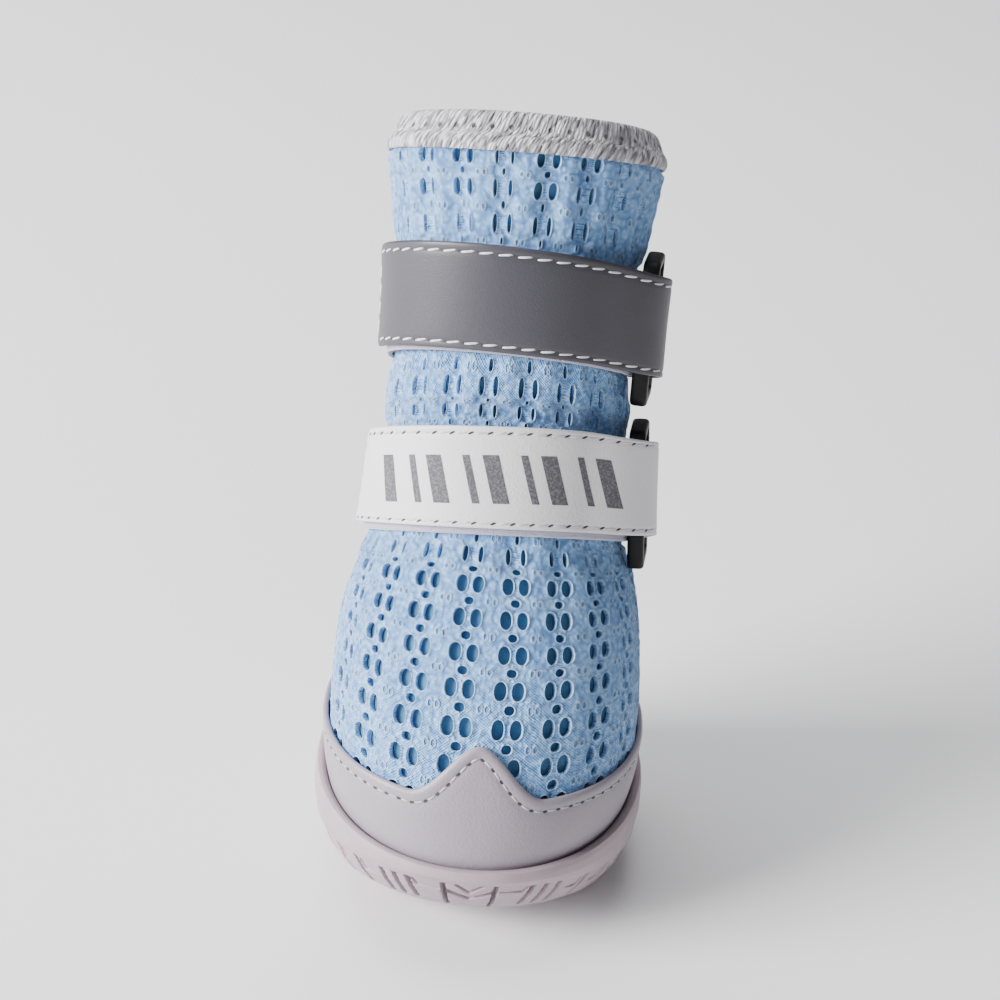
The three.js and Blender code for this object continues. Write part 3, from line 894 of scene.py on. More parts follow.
@dataclass
class AirMesh:
    """The upper: an open knit over a blue lining, gathered where the straps pull it in."""

    around: int = 20
    foot_row: float = 7.2
    shaft_row: float = 6.9
    lowest: float = 1.25
    split: float = 6.5
    lining_in: float = 1.3
    wall: float = 2.4
    pleat: float = 0.62
    ridge: float = 0.22
    bands: tuple[tuple[float, float], ...] = ((5.9, 7.06), (9.0, 10.1))
    # the rings of a hole's wall: how far out from its edge, how far up, and how strong a painted highlight it
    # gets
    hole_rings: tuple[tuple[float, float, float], ...] = (
        (0.15, 0.14, 0.8), (0.05, 0.16, 1.0), (-0.02, 0.0, 0.8), (-0.04, -0.5, 0.15), (0.0, -1.05, 0.0),
    )

    def row_levels(self) -> Array:
        """Levels where the knit's rows begin, so that the rows keep their height down the front.

        Returns:
            The levels, from the lowest row up.
        """
        levels = [self.lowest]
        while levels[-1] < FORM.collar - 0.1:
            here = levels[-1]
            height = mix(self.foot_row, self.shaft_row, smooth((here - 3.0) / 3.5))
            levels.append(here + float(height / FORM.pitch(here, TOE)))
        return np.array(levels)

    def strap_distance(self, level: Array, angle: Array) -> Array:
        """Millimetres to the nearest strap's edge, and 0 under a strap.

        Args:
            level: where along the sections.
            angle: where round them.

        Returns:
            One distance for each place.
        """
        nearest = np.full(np.shape(level), 1e9)
        for low, high in self.bands:
            gap = np.maximum(np.maximum(low - level, level - high), 0)
            nearest = np.minimum(nearest, gap * FORM.pitch(level, angle))
        return nearest

    def gather(self, level: Array, angle: Array) -> Array:
        """How far the pleats beside the straps push the knit out or in.

        Args:
            level: where along the sections.
            angle: where round them.

        Returns:
            One distance for each place, positive outward.
        """
        near = self.strap_distance(level, angle)
        under = near < 0.4
        wander = 0.45 * drift(angle * 2, level * 0.6, 1.3)
        slower = np.cos(self.around * 0.5 * angle + 1.1 + 2 * wander)
        wave = np.cos(self.around * angle + wander) + 0.35 * slower
        reach = np.exp(-((near / 8.5) ** 2)) * (0.75 + 0.35 * drift(angle * 5, level, 4.0))
        slow = 0.25 * drift(angle * 3, level * 1.4, 2.2)
        ridges = self.ridge * (1 + 1.5 * smooth(level - 9.5)) * np.cos(self.around * angle + wander)
        return np.where(under, -0.1, self.pleat * wave * reach + (slow + ridges) * smooth(near / 6))

    def knit(self, name: str, first: int, last: int, levels: Array) -> Shape:
        """The open knit between two rows.

        Args:
            name: of the piece.
            first: its first row.
            last: the row after its last.
            levels: where the rows begin.

        Returns:
            The piece's shape, with values that mark its rims, for a painted highlight, and its dimples, for
            painted shade.
        """
        repeat = Repeat()
        random = np.random.RandomState(SEED)
        flat, kind = repeat.flat, repeat.kind
        size = np.array([repeat.width, repeat.height])
        number = np.array([k[0] for k in kind])
        on_hole = number >= 0
        unit = np.array([[k[1], k[2]] for k in kind])
        unit = np.sign(unit) * np.abs(unit) ** (2 / Repeat.SQUARE)
        centres = np.array([[h.x, h.y] for h in repeat.holes]) * size
        radii = np.array([[h.rx, h.ry] for h in repeat.holes]) * size
        jitter = random.uniform(-1, 1, (len(levels), self.around, len(repeat.holes), 4))
        shape = Shape(name)
        step = 2 * math.pi / self.around
        all_at, all_height, all_rim, all_dimple, all_faces, total = [], [], [], [], [], 0
        for row in range(first, last):
            for column in range(self.around):
                middle_level = float(np.interp(row + 0.5, np.arange(len(levels)), levels))
                near = float(self.strap_distance(middle_level, column * step))
                squeeze = mix(0.35, 1.0, smooth((near - 0.5) / 9.0))
                shut = 0.55 + 0.25 * jitter[row, column, 0, 1]
                squeeze *= mix(1.0, shut, smooth((middle_level - 9.6) / 0.8))
                at, height, rim, dimple = [flat.copy()], [np.zeros(len(flat))], [np.zeros(len(flat))], []
                faces = [[k + total for k in f] for f in repeat.faces]
                own = jitter[row, column]
                grow = np.stack([squeeze * (1 + 0.04 * own[:, 0]), 0.97 + 0.03 * own[:, 1]], axis=1)
                shift = np.array([0.2, 0.03]) * own[[0, 0, 2], 2:]
                here = number[on_hole]
                reach = radii[here] * grow[here] + repeat.rim
                at[0][on_hole] = centres[here] + shift[here] + unit[on_hole] * reach
                x, y = flat[:, 0], flat[:, 1]
                edge = np.minimum(x, repeat.width - x)
                spots = np.cos(2 * math.pi * (y / repeat.height - 0.09) * 2)
                pit = np.where(on_hole, 0, smooth(1 - edge / 1.3) * smooth(0.5 + 0.7 * spots))
                height[0] += -0.16 * pit + np.where(on_hole, 0, 0.05)
                # the dimple value also darkens the knit's colour here: painted shade in the dimples
                dimple.append(pit)
                base = len(flat)
                for index, hole in enumerate(repeat.holes):
                    ring = np.nonzero(number == index)[0]
                    before = (ring + total).tolist()
                    for grow_mm, up, bright in self.hole_rings:
                        reach = radii[index] * grow[index] + grow_mm
                        loop = centres[index] + shift[index] + unit[ring] * reach
                        now = list(range(total + base, total + base + len(ring)))
                        for k in range(len(ring)):
                            k2 = (k + 1) % len(ring)
                            faces.append([before[k], before[k2], now[k2], now[k]])
                        at.append(loop)
                        height.append(np.full(len(ring), up))
                        # the rim value sets the strength of a painted highlight on each ring of the hole's
                        # wall
                        rim.append(np.full(len(ring), bright))
                        dimple.append(np.zeros(len(ring)))
                        before = now
                        base += len(ring)
                cell = np.concatenate(at) / size
                all_at.append(cell + [column, row])
                all_height.append(np.concatenate(height))
                all_rim.append(np.concatenate(rim))
                all_dimple.append(np.concatenate(dimple))
                all_faces.extend(faces)
                total += base
        at = np.concatenate(all_at)
        angle = at[:, 0] * step
        level = np.interp(at[:, 1], np.arange(len(levels)), levels)
        level = np.minimum(level, FORM.collar - 0.05)
        wale = np.abs(at[:, 0] % 1.0 - 0.5) * repeat.width
        height = np.concatenate(all_height) + self.gather(level, angle)
        covered = level > FORM.collar - 0.9
        height = np.where(covered, np.minimum(height, 0.1), height)
        points = FORM.offset(level, angle, height)
        _, keep, back = np.unique(np.round(points, 3), axis=0, return_index=True, return_inverse=True)
        back = back.ravel()
        joined = [[int(back[k]) for k in face] for face in all_faces]
        shape.add(points[keep], [f for f in joined if len(set(f)) == len(f)],
                  rim=np.concatenate(all_rim)[keep], dimple=np.concatenate(all_dimple)[keep],
                  wale=wale[keep], course=at[keep, 1] * repeat.height)
        return shape

    def lining(self) -> Shape:
        """The lining: a closed wall just inside the knit, from the feather edge to the collar.

        Returns:
            The lining's shape.
        """
        angle = np.linspace(0, 2 * math.pi, 144, endpoint=False)
        level = np.linspace(0.15, FORM.collar - 0.02, 90)
        out = -self.lining_in + 0.6 * self.gather(level[:, None], angle[None, :])
        outside = FORM.offset(level[:, None], angle[None, :], out)
        inside = FORM.offset(level[:, None], angle[None, :], -self.wall + 0.25 * self.gather(
            level[:, None], angle[None, :]))
        shape = Shape("upper_lining")
        shape.add_grid(np.concatenate([outside, inside[::-1]]), (True, True))
        return shape

    def back_seam(self) -> Shape:
        """A flat tape sewn over the join down the middle of the back.

        Returns:
            The tape's shape.
        """
        level = np.linspace(1.2, FORM.collar - 0.4, 110)
        across = np.array([-2.6, -2.5, -2.0, -1.0, 0.0, 1.0, 2.0, 2.5, 2.6])
        up = np.array([0.05, 0.6, 0.95, 1.05, 1.0, 1.05, 0.95, 0.6, 0.05])
        angle = -TOE + across[None, :] / np.where(level > 6, 24.5, 30.0)[:, None]
        shape = Shape("back_seam_tape")
        shape.add_grid(FORM.offset(level[:, None], angle, up[None, :]))
        return shape

    def build(self) -> list[bpy.types.Object]:
        """Makes the knit, its lining and the back seam's tape.

        Returns:
            The pieces.
        """
        levels = self.row_levels()
        split = int(np.searchsorted(levels, self.split))
        knit = AirKnit().build()
        lining = Cloth("lining_cloth", (0.10, 0.25, 0.40), (0.05, 0.16, 0.29), 0.5).build()
        tape = Cloth("seam_tape", (0.33, 0.50, 0.72), (0.24, 0.40, 0.62), 0.8).build()
        foot = self.knit("air_mesh_foot", 0, split, levels).build(knit)
        shaft = self.knit("air_mesh_shaft", split, len(levels) - 1, levels).build(knit)
        under = self.lining().build(lining)
        seam = self.back_seam().build(tape)
        return [place(foot, "air_mesh", "upper"), place(shaft, "air_mesh"), place(under, "air_mesh"),
                place(seam, "air_mesh")]


# ---------------------------------------------------------------- toe guard


@dataclass
class ToeGuard:
    """The synthetic leather band round the foot, with a peaked edge over the toe."""

    thick: float = 1.0
    gap: float = 0.4
    low: float = 0.35
    heel: float = 1.7
    side: float = 2.33
    dip: float = 2.38
    peak: float = 3.07
    dip_angle: float = 24.0
    side_angle: float = 95.0
    seam_in: float = 2.4
    around: int = 420

    def edge(self, angle: Array) -> Array:
        """Level of the upper edge at an angle.

        Args:
            angle: where round the sections.

        Returns:
            One level for each angle.
        """
        from_toe = np.abs((np.degrees(angle) - 90 + 540) % 360 - 180)
        peak = mix(self.peak, self.dip, smooth(from_toe / self.dip_angle))
        flank_share = (from_toe - self.dip_angle) / (self.side_angle - self.dip_angle)
        flank = mix(self.dip, self.side, smooth(flank_share))
        back_share = (from_toe - self.side_angle) / (180 - self.side_angle)
        back = mix(self.side, self.heel, smooth(back_share))
        return np.where(from_toe < self.dip_angle, peak, np.where(from_toe < self.side_angle, flank, back))

    def slope(self, angle: Array) -> Array:
        """How much longer a way down the guard is than the same distance square to its edge.

        Args:
            angle: where round the sections.

        Returns:
            One ratio for each angle.
        """
        step = 0.01
        a, b = (FORM.point(self.edge(angle + d), angle + d) for d in (-step, step))
        rise = (self.edge(angle + step) - self.edge(angle - step)) * FORM.pitch(self.edge(angle), angle)
        return np.clip(np.linalg.norm(b - a, axis=-1) / np.sqrt(
            np.maximum(np.linalg.norm(b - a, axis=-1) ** 2 - rise**2, 1e-6)), 1.0, 1.7)

    def surface(self, angle: Array, down: Array, out: Array) -> Array:
        """Points a distance down from the upper edge and a distance off the form.

        Args:
            angle: where round the sections.
            down: from the upper edge.
            out: off the form.

        Returns:
            One point for each angle.
        """
        edge = self.edge(angle)
        level = edge - down * self.slope(angle) / FORM.pitch(edge, angle)
        return FORM.offset(np.maximum(level, self.low), angle, out)

    def band(self) -> Shape:
        """The band with its rolled edge and the shallow groove of its seam.

        Returns:
            The band's shape.
        """
        angle = np.linspace(0, 2 * math.pi, self.around, endpoint=False)
        top = self.gap + self.thick
        profile = [
            (2.0, self.gap), (0.25, self.gap), (0.02, self.gap + 0.25), (-0.05, top - 0.35),
            (0.12, top - 0.08), (0.45, top + 0.12), (0.95, top + 0.2), (1.5, top + 0.16),
            (2.1, top + 0.02), (self.seam_in, top - 0.1), (3.1, top), (3.9, top + 0.06), (5.2, top + 0.05),
        ]
        rows = []
        for down, out in profile:
            rows.append(self.surface(angle, np.full_like(angle, down), np.full_like(angle, out)))
        last = self.edge(angle) - 5.2 * self.slope(angle) / FORM.pitch(self.edge(angle), angle)
        for share in np.linspace(0, 1, 14)[1:]:
            level = np.maximum(mix(last, self.low, share), self.low)
            rows.append(FORM.offset(level, angle, mix(top + 0.05, top, share)))
        shape = Shape("toe_guard_band")
        shape.add_grid(np.stack(rows), (False, True))
        return shape

    def build(self) -> list[bpy.types.Object]:
        """Makes the band and its seam.

        Returns:
            The pieces.
        """
        leather = SyntheticLeather("guard_leather", (0.32, 0.28, 0.33), (0.27, 0.235, 0.285)).build()
        band = self.band().build(leather)
        thread, holes = Shape("toe_guard_thread"), Shape("toe_guard_needle_hole_shades")
        angle = np.linspace(TOE - math.pi, TOE + math.pi, 900)
        down = np.full_like(angle, self.seam_in)
        out = np.full_like(angle, self.gap + self.thick - 0.1)
        path = self.surface(angle, down, out)
        normals = self.surface(angle, down, out + 1) - path
        Seam(2.9, 1.8, 0.17, 0.5, 0.34).sew(thread, holes, path, normals)
        thread_piece = thread.build(Thread("guard_thread", (0.62, 0.60, 0.62)).build())
        # the needle holes' dark discs are painted shade
        hole_piece = holes.build(Thread("needle_hole_shade", (0.05, 0.045, 0.055)).build())
        return [place(band, "guard_leather", "toe_guard"), place(thread_piece, "guard_leather"),
                place(hole_piece, "guard_leather")]


# ---------------------------------------------------------------- collar binding


@dataclass
class CollarBinding:
    """A knit tape folded over the collar's edge."""

    drop: float = 4.1
    wall: float = 2.4
    gap: float = 0.3

    def build(self) -> list[bpy.types.Object]:
        """Makes the tape, rounded over the edge and drawn in at its lower hem.

        Returns:
            The piece, in a list.
        """
        inside = -self.wall - self.gap
        profile = np.array([
            (0.15, -self.drop + 0.4), (0.25, -self.drop + 0.05), (0.7, -self.drop), (1.02, -self.drop + 0.5),
            (1.2, -self.drop + 1.4), (1.22, -0.9), (1.1, 0.2), (0.65, 1.2), (-0.2, 1.8), (-1.3, 2.0),
            (inside + 0.4, 1.75), (inside - 0.5, 1.0), (inside - 0.95, -0.2), (inside - 1.0, -1.6),
            (inside - 0.8, -self.drop + 0.9), (inside - 0.3, -self.drop + 0.6), (inside, -self.drop + 0.9),
        ])
        loop = np.vstack([profile, profile[:1]])
        dense = resample(loop, np.linspace(0, curve_length(loop)[-1], 73)[:-1])
        for _ in range(2):
            dense = (np.roll(dense, 1, 0) + 2 * dense + np.roll(dense, -1, 0)) / 4
        angle = np.linspace(-TOE, 2 * math.pi - TOE, 421)
        lumps = np.random.RandomState(SEED).uniform(-1, 1, (len(dense), len(angle)))
        lumps[:, -1] = lumps[:, 0]
        lumps = (lumps + np.roll(lumps, 1, 0)) / 2
        swell = 0.06 * lumps + 0.10 * drift(angle * 6, 0 * angle, 3.0)[None, :]
        out = dense[:, 0][:, None] + swell * np.sign(dense[:, 0] + 1.2)[:, None]
        level = FORM.collar + dense[:, 1][:, None] / FORM.pitch(FORM.collar, angle)[None, :]
        grid = FORM.offset(level, angle[None, :], out)
        around = curve_length(grid[5])
        across = curve_length(dense)
        shape = Shape("collar_binding_tape")
        shape.add_grid(grid, (True, False))
        shape.values["around"] = [np.broadcast_to(around[None, :], out.shape).ravel()]
        shape.values["across"] = [np.broadcast_to(across[:, None], out.shape).ravel()]
        return [place(shape.build(HeatherKnit().build()), "binding_knit", "collar_binding")]


# ---------------------------------------------------------------- straps, rings and tabs


class Side(Enum):
    """The two faces of a strap."""

    SKIN = -1
    PILE = 1


@dataclass
class Route:
    """The way of a ribbon over the boot: one value of each kind for each of its stations."""

    along: Array
    out: Array
    facing: Array
    low: Array
    high: Array
    start: float

    RADIUS = 24.5

    def surface(self, share: Array, inset: Array, depth: Array) -> Array:
        """Points on the ribbon.

        Args:
            share: 0 at the lower edge and 1 at the upper edge, one for each column.
            inset: millimetres added to that, one for each column.
            depth: distance from the middle of the thickness, positive on the pile side.

        Returns:
            A grid of points, stations by columns.
        """
        pitch = FORM.pitch((self.low + self.high) / 2, TOE)[:, None]
        level = mix(self.low[:, None], self.high[:, None], share[None, :]) + inset[None, :] / pitch
        ahead = depth[None, :] * np.cos(self.facing)[:, None]
        angle = self.start + (self.along[:, None] + ahead) / self.RADIUS
        return FORM.offset(level, angle, self.out[:, None] + depth[None, :] * np.sin(self.facing)[:, None])

    def part(self, keep: Array) -> "Route":
        """The stations that a mask keeps."""
        rows = (row[keep] for row in (self.along, self.out, self.facing, self.low, self.high))
        return Route(*rows, self.start)


def opposite(near: list[tuple[float, float, float]]) -> list[tuple[float, float, float]]:
    """The upper edge of a ribbon's section, which mirrors its lower edge."""
    return [(1.0, -inset, depth) for _, inset, depth in near[::-1]]


@dataclass
class StrapSizes:
    """The sizes that both straps share, in millimetres and degrees."""

    thick: float = 1.3
    lie: float = 0.6
    pile_gap: float = 0.5
    root_angle: float = 245.0
    ring_angle: float = 19.0
    free_angle: float = 176.0
    corner: float = 4.0
    ring_width: float = 12.0
    ring_height: float = 29.8
    ring_bar: float = 3.0
    ring_end: float = 2.2
    ring_corner: float = 2.6
    ring_thick: float = 3.4
    tab_thick: float = 1.0
    tab_width: float = 17.0
    tab_length: float = 15.0

    @property
    def start(self) -> float:
        """The ring's angle in radians."""
        return math.radians(self.ring_angle)

    @property
    def base_out(self) -> float:
        """Where the middle of the root layer lies off the form."""
        return self.lie + self.thick / 2

    @property
    def top_out(self) -> float:
        """Where the middle of the free layer lies off the form."""
        return self.base_out + self.thick + self.pile_gap

    @property
    def rear_bar_out(self) -> float:
        """Where the ring's rear bar lies off the form."""
        return self.lie + self.tab_thick + 0.6 + self.ring_thick / 2

    @property
    def bar_out(self) -> float:
        """Where the ring's front bar lies off the form, lifted by the strap."""
        return self.rear_bar_out + 0.6

    @property
    def fold(self) -> float:
        """The radius of the fold's middle round the bar."""
        return self.thick / 2 + 0.7 + self.ring_thick / 2


@dataclass
class Strap:
    """One fastening: a strap, its ring and the tab that holds the ring."""

    name: str
    bottom: str
    top: str
    lift: float
    tilt: float
    taller: float
    stagger: float
    ring_lift: float
    skin: SyntheticLeather
    thread: Thread
    seam: Seam
    seam_in: float
    sizes: StrapSizes = field(default_factory=StrapSizes)
    printed: bool = False

    def route(self) -> Route:
        """The strap's way: root, round the ring's front bar, and back to the free end.

        Returns:
            The route.
        """
        z = self.sizes
        bottom, top = FORM.level_of(self.bottom), FORM.level_of(self.top)
        pitch = float(FORM.pitch((bottom + top) / 2, TOE))
        reach = Route.RADIUS * math.radians(z.root_angle - z.ring_angle)
        end = Route.RADIUS * math.radians(z.free_angle - z.ring_angle)
        root = np.arange(reach, 0, -0.9)
        lifted = smooth(1 - root / 14)
        turn = np.linspace(0, 1, 15)[1:-1]
        back = np.concatenate([np.arange(0, end - z.corner, 0.9), end - z.corner * (1 - np.sin(
            np.linspace(0, math.pi / 2, 12)))])
        back[-1] = end - 0.02
        settle = smooth(back / 16)
        along = np.concatenate([root, -z.fold * np.sin(math.pi * turn), back])
        wave = 0.10 * drift(back / 9, back / 23, 1.0 + self.lift) * settle
        out = np.concatenate([
            mix(z.base_out, z.bar_out - z.fold, lifted), z.bar_out - z.fold * np.cos(math.pi * turn),
            mix(z.bar_out + z.fold, z.top_out, settle) + wave])
        facing = np.concatenate([np.full(len(root), 0.5), 0.5 + turn, np.full(len(back), 1.5)]) * math.pi
        drop = np.concatenate([
            np.full(len(root), self.stagger), self.stagger * (1 - turn), np.zeros(len(back))])
        short = np.maximum(z.corner - (end - back), 0)
        loss = np.concatenate([np.zeros(len(root) + len(turn)), z.corner - np.sqrt(z.corner**2 - short**2)])
        shift = self.lift - drop - self.tilt * np.cos(z.start + along / Route.RADIUS)
        high = top + (shift + self.taller - loss) / pitch
        return Route(along, out, facing, bottom + (shift + loss) / pitch, high, z.start)

    def skin_profile(self) -> Array:
        """The synthetic leather's section: share, inset and depth, with rolled edges and two seam grooves.

        Returns:
            One row for each point of the section.
        """
        half = self.sizes.thick / 2
        s = self.seam_in
        near = [
            (0.0, 0.02, 0.05), (0.0, -0.04, -0.2), (0.0, 0.06, -half + 0.2), (0.0, 0.3, -half + 0.04),
            (0.0, 0.8, -half - 0.02), (0.0, s - 0.5, -half), (0.0, s, -half + 0.10),
            (0.0, s + 0.5, -half - 0.02), (0.0, s + 1.4, -half - 0.06),
        ]
        middle = [(f, 0.0, -half - 0.09) for f in (0.28, 0.39, 0.5, 0.61, 0.72)]
        return np.array(near + middle + opposite(near))

    def pile_profile(self) -> Array:
        """The loop tape's section, a little narrower than the leather.

        Returns:
            One row for each point of the section.
        """
        half = self.sizes.thick / 2
        near = [(0.0, 0.3, 0.06), (0.0, 0.22, 0.3), (0.0, 0.4, half - 0.1), (0.0, 0.9, half)]
        middle = [(f, 0.0, half + 0.02) for f in (0.2, 0.35, 0.5, 0.65, 0.8)]
        return np.array(near + middle + opposite(near))

    def sew(self, route: Route, thread: Shape, holes: Shape) -> None:
        """Sews both edges of the free layer, and the root where the free layer doesn't cover it.

        Args:
            route: the strap's way.
            thread: the shape that gathers the threads.
            holes: the shape that gathers the needle holes' discs of painted shade.
        """
        half = self.sizes.thick / 2
        facing = np.round(route.facing / math.pi, 3)
        free = facing == 1.5
        ending = route.along[free].max() - 2.2
        rows = [(route.part(free & (route.along < ending)), Side.SKIN)]
        bare = (facing == 0.5) & (route.along > route.along[free].max() + 1)
        rows.append((route.part(bare), Side.PILE))
        for part, side in rows:
            for share, inset in ((0.0, self.seam_in), (1.0, -self.seam_in)):
                f, i = np.array([share]), np.array([inset])
                depth = (half - 0.08) * side.value
                path = part.surface(f, i, np.array([depth]))[:, 0]
                above = part.surface(f, i, np.array([depth + side.value]))[:, 0]
                self.seam.sew(thread, holes, path, above - path)
        last = route.part(free & (route.along > ending - 0.6) & (route.along < ending + 0.6))
        columns = np.linspace(0.13, 0.87, 40)
        row = last.surface(columns, np.zeros(40), np.full(40, -half + 0.03))[0]
        above = last.surface(columns, np.zeros(40), np.full(40, -half - 1.0))[0]
        self.seam.sew(thread, holes, row, above - row)

    def print_row(self, route: Route) -> Shape:
        """A plain printed row of slanted bars along the middle of the free layer.

        Args:
            route: the strap's way.

        Returns:
            The print's shape.
        """
        free = route.part(np.round(route.facing / math.pi, 3) == 1.5)
        shape = Shape(f"{self.name}_print")
        depth = -self.sizes.thick / 2 - 0.13
        height = np.linspace(0.29, 0.71, 9)
        for number in range(9):
            start = 9.5 + number * 5.1
            wide = 2.9 if number % 2 == 0 else 1.3
            grid = []
            for step in np.linspace(0, 1, 6):
                along = start + wide * step + (height - 0.5) * 6.0
                ways = (free.out, free.low, free.high)
                at = np.array([[np.interp(a, free.along, way) for way in ways] for a in along])
                one = Route(along, at[:, 0], np.full(9, 1.5 * math.pi), at[:, 1], at[:, 2], route.start)
                whole = one.surface(height, np.zeros(9), np.full(9, depth))
                grid.append(np.array([whole[k, k] for k in range(9)]))
            shape.add_grid(np.array(grid))
        return shape

    def ring_level(self) -> float:
        """The level at the ring's middle."""
        middle = (FORM.level_of(self.bottom) + FORM.level_of(self.top)) / 2
        return middle + self.ring_lift / float(FORM.pitch(middle, self.sizes.start))

    def ring(self) -> Shape:
        """The moulded ring: a rounded bar carried round a square loop.

        Returns:
            The ring's shape.
        """
        z, level = self.sizes, self.ring_level()
        angle = [z.start + along / Route.RADIUS for along in (z.ring_bar / 2, 1.5 * z.ring_bar - z.ring_width,
                                                              z.ring_bar - z.ring_width / 2)]
        front_bar = FORM.offset(level, angle[0], z.bar_out)
        rear_bar = FORM.offset(level, angle[1], z.rear_bar_out)
        up = FORM.offset(level + 0.4, angle[2], z.bar_out) - FORM.offset(level - 0.4, angle[2], z.bar_out)
        up /= np.linalg.norm(up)
        front = front_bar - rear_bar
        front -= up * (front @ up)
        front /= np.linalg.norm(front)
        out = np.cross(front, up)
        corner = z.ring_corner
        x, y = z.ring_width / 2 - corner, z.ring_height / 2 - corner
        turn = np.linspace(0, math.pi / 2, 9)
        loop, ahead = [], []
        for quarter, (sx, sy) in enumerate(((1, 1), (-1, 1), (-1, -1), (1, -1))):
            for t in turn + quarter * math.pi / 2:
                loop.append((sx * x + corner * math.cos(t), sy * y + corner * math.sin(t)))
                ahead.append((math.cos(t), math.sin(t)))
        loop, ahead = np.array(loop), np.array(ahead)
        around = np.linspace(0, 2 * math.pi, 24, endpoint=False)
        a = np.sign(np.cos(around)) * np.abs(np.cos(around)) ** 0.55 / 2
        b = np.sign(np.sin(around)) * np.abs(np.sin(around)) ** 0.55 * z.ring_thick / 2
        wide = mix(z.ring_end, z.ring_bar, ahead[:, :1] ** 2)
        flat = loop[:, None, :] + ahead[:, None, :] * (wide * (a[None, :] - 0.5))[..., None]
        centre = (front_bar + rear_bar) / 2
        grid = centre + flat[..., :1] * front + flat[..., 1:] * up + b[None, :, None] * out
        shape = Shape(f"{self.name}_ring_moulding")
        shape.add_grid(grid, (True, True))
        return shape

    def tab(self) -> Shape:
        """The webbing tab folded round the ring's rear bar.

        Returns:
            The tab's shape.
        """
        z = self.sizes
        level = self.ring_level()
        half = z.tab_width / 2 / float(FORM.pitch(level, z.start))
        turn_at = -(z.ring_width - 2 * z.ring_bar)
        inner = z.lie + z.tab_thick / 2
        radius = z.rear_bar_out - inner
        under = np.arange(turn_at - z.tab_length, turn_at, 0.6)
        turn = np.linspace(0, 1, 15)[1:-1]
        over = np.arange(turn_at, turn_at - z.tab_length, -0.6)
        come = smooth((turn_at - over - z.ring_bar) / (z.tab_length - z.ring_bar - 4))
        along = np.concatenate([under, turn_at + radius * 0.62 * np.sin(math.pi * turn), over])
        out = np.concatenate([np.full(len(under), inner), z.rear_bar_out - radius * np.cos(math.pi * turn),
                              mix(z.rear_bar_out + radius, inner + z.tab_thick + 0.35, come)])
        facing = np.concatenate([np.full(len(under), 0.5), 0.5 - turn, np.full(len(over), -0.5)]) * math.pi
        low, high = (np.full(len(along), level + side * half) for side in (-1, 1))
        route = Route(along, out, facing, low, high, z.start)
        t = z.tab_thick / 2
        near = [(0.0, 0.0, 0.0), (0.0, 0.12, t * 0.8), (0.0, 0.6, t)]
        face = near + [(f, 0.0, t) for f in (0.25, 0.5, 0.75)] + opposite(near)
        other = [(f, i, -d) for f, i, d in face[1:-1][::-1]]
        profile = np.array(face + other)
        shape = Shape(f"{self.name}_tab_webbing")
        shape.add_grid(route.surface(*profile.T), (False, True), caps=True)
        return shape

    def build(self) -> list[bpy.types.Object]:
        """Makes the strap's leather, pile, seams and print, the ring and the tab.

        Returns:
            The pieces.
        """
        route = self.route()
        skin = Shape(f"{self.name}_leather")
        skin.add_grid(route.surface(*self.skin_profile().T), (False, True), caps=True)
        pile = Shape(f"{self.name}_loop_tape")
        pile.add_grid(route.surface(*self.pile_profile().T), (False, True), caps=True)
        thread, holes = Shape(f"{self.name}_thread"), Shape(f"{self.name}_needle_hole_shades")
        self.sew(route, thread, holes)
        # the needle holes' dark is painted shade
        dark = Thread(f"{self.name}_needle_hole_shade", (0.06, 0.055, 0.065)).build()
        slot = "dark_strap" if self.name == "top_strap" else "pale_strap"
        pieces = [
            place(skin.build(self.skin.build(), 60), slot, self.name),
            place(pile.build(LoopPile(f"{self.name}_pile").build(), 60), slot),
            place(thread.build(self.thread.build()), slot),
            place(holes.build(dark), slot),
        ]
        if self.printed:
            pieces.append(place(self.print_row(route).build(PrintInk().build()), slot))
        plastic = MouldedPlastic(f"{self.name}_ring_plastic").build()
        webbing = Cloth(
            f"{self.name}_webbing", (0.016, 0.016, 0.018), (0.006, 0.006, 0.007), 0.9, 0.8).build()
        pieces.append(place(self.ring().build(plastic), "ring_plastic", f"{self.name}_ring"))
        pieces.append(place(self.tab().build(webbing, 60), "webbing", f"{self.name}_tab"))
        return pieces


# ---------------------------------------------------------------- sole and insole


@dataclass(frozen=True)
class SoleRow:
    """One ring of the sole's outside, out from the rim, at three heights along the foot."""

    name: str
    out: float
    heel_z: float
    middle_z: float
    toe_z: float


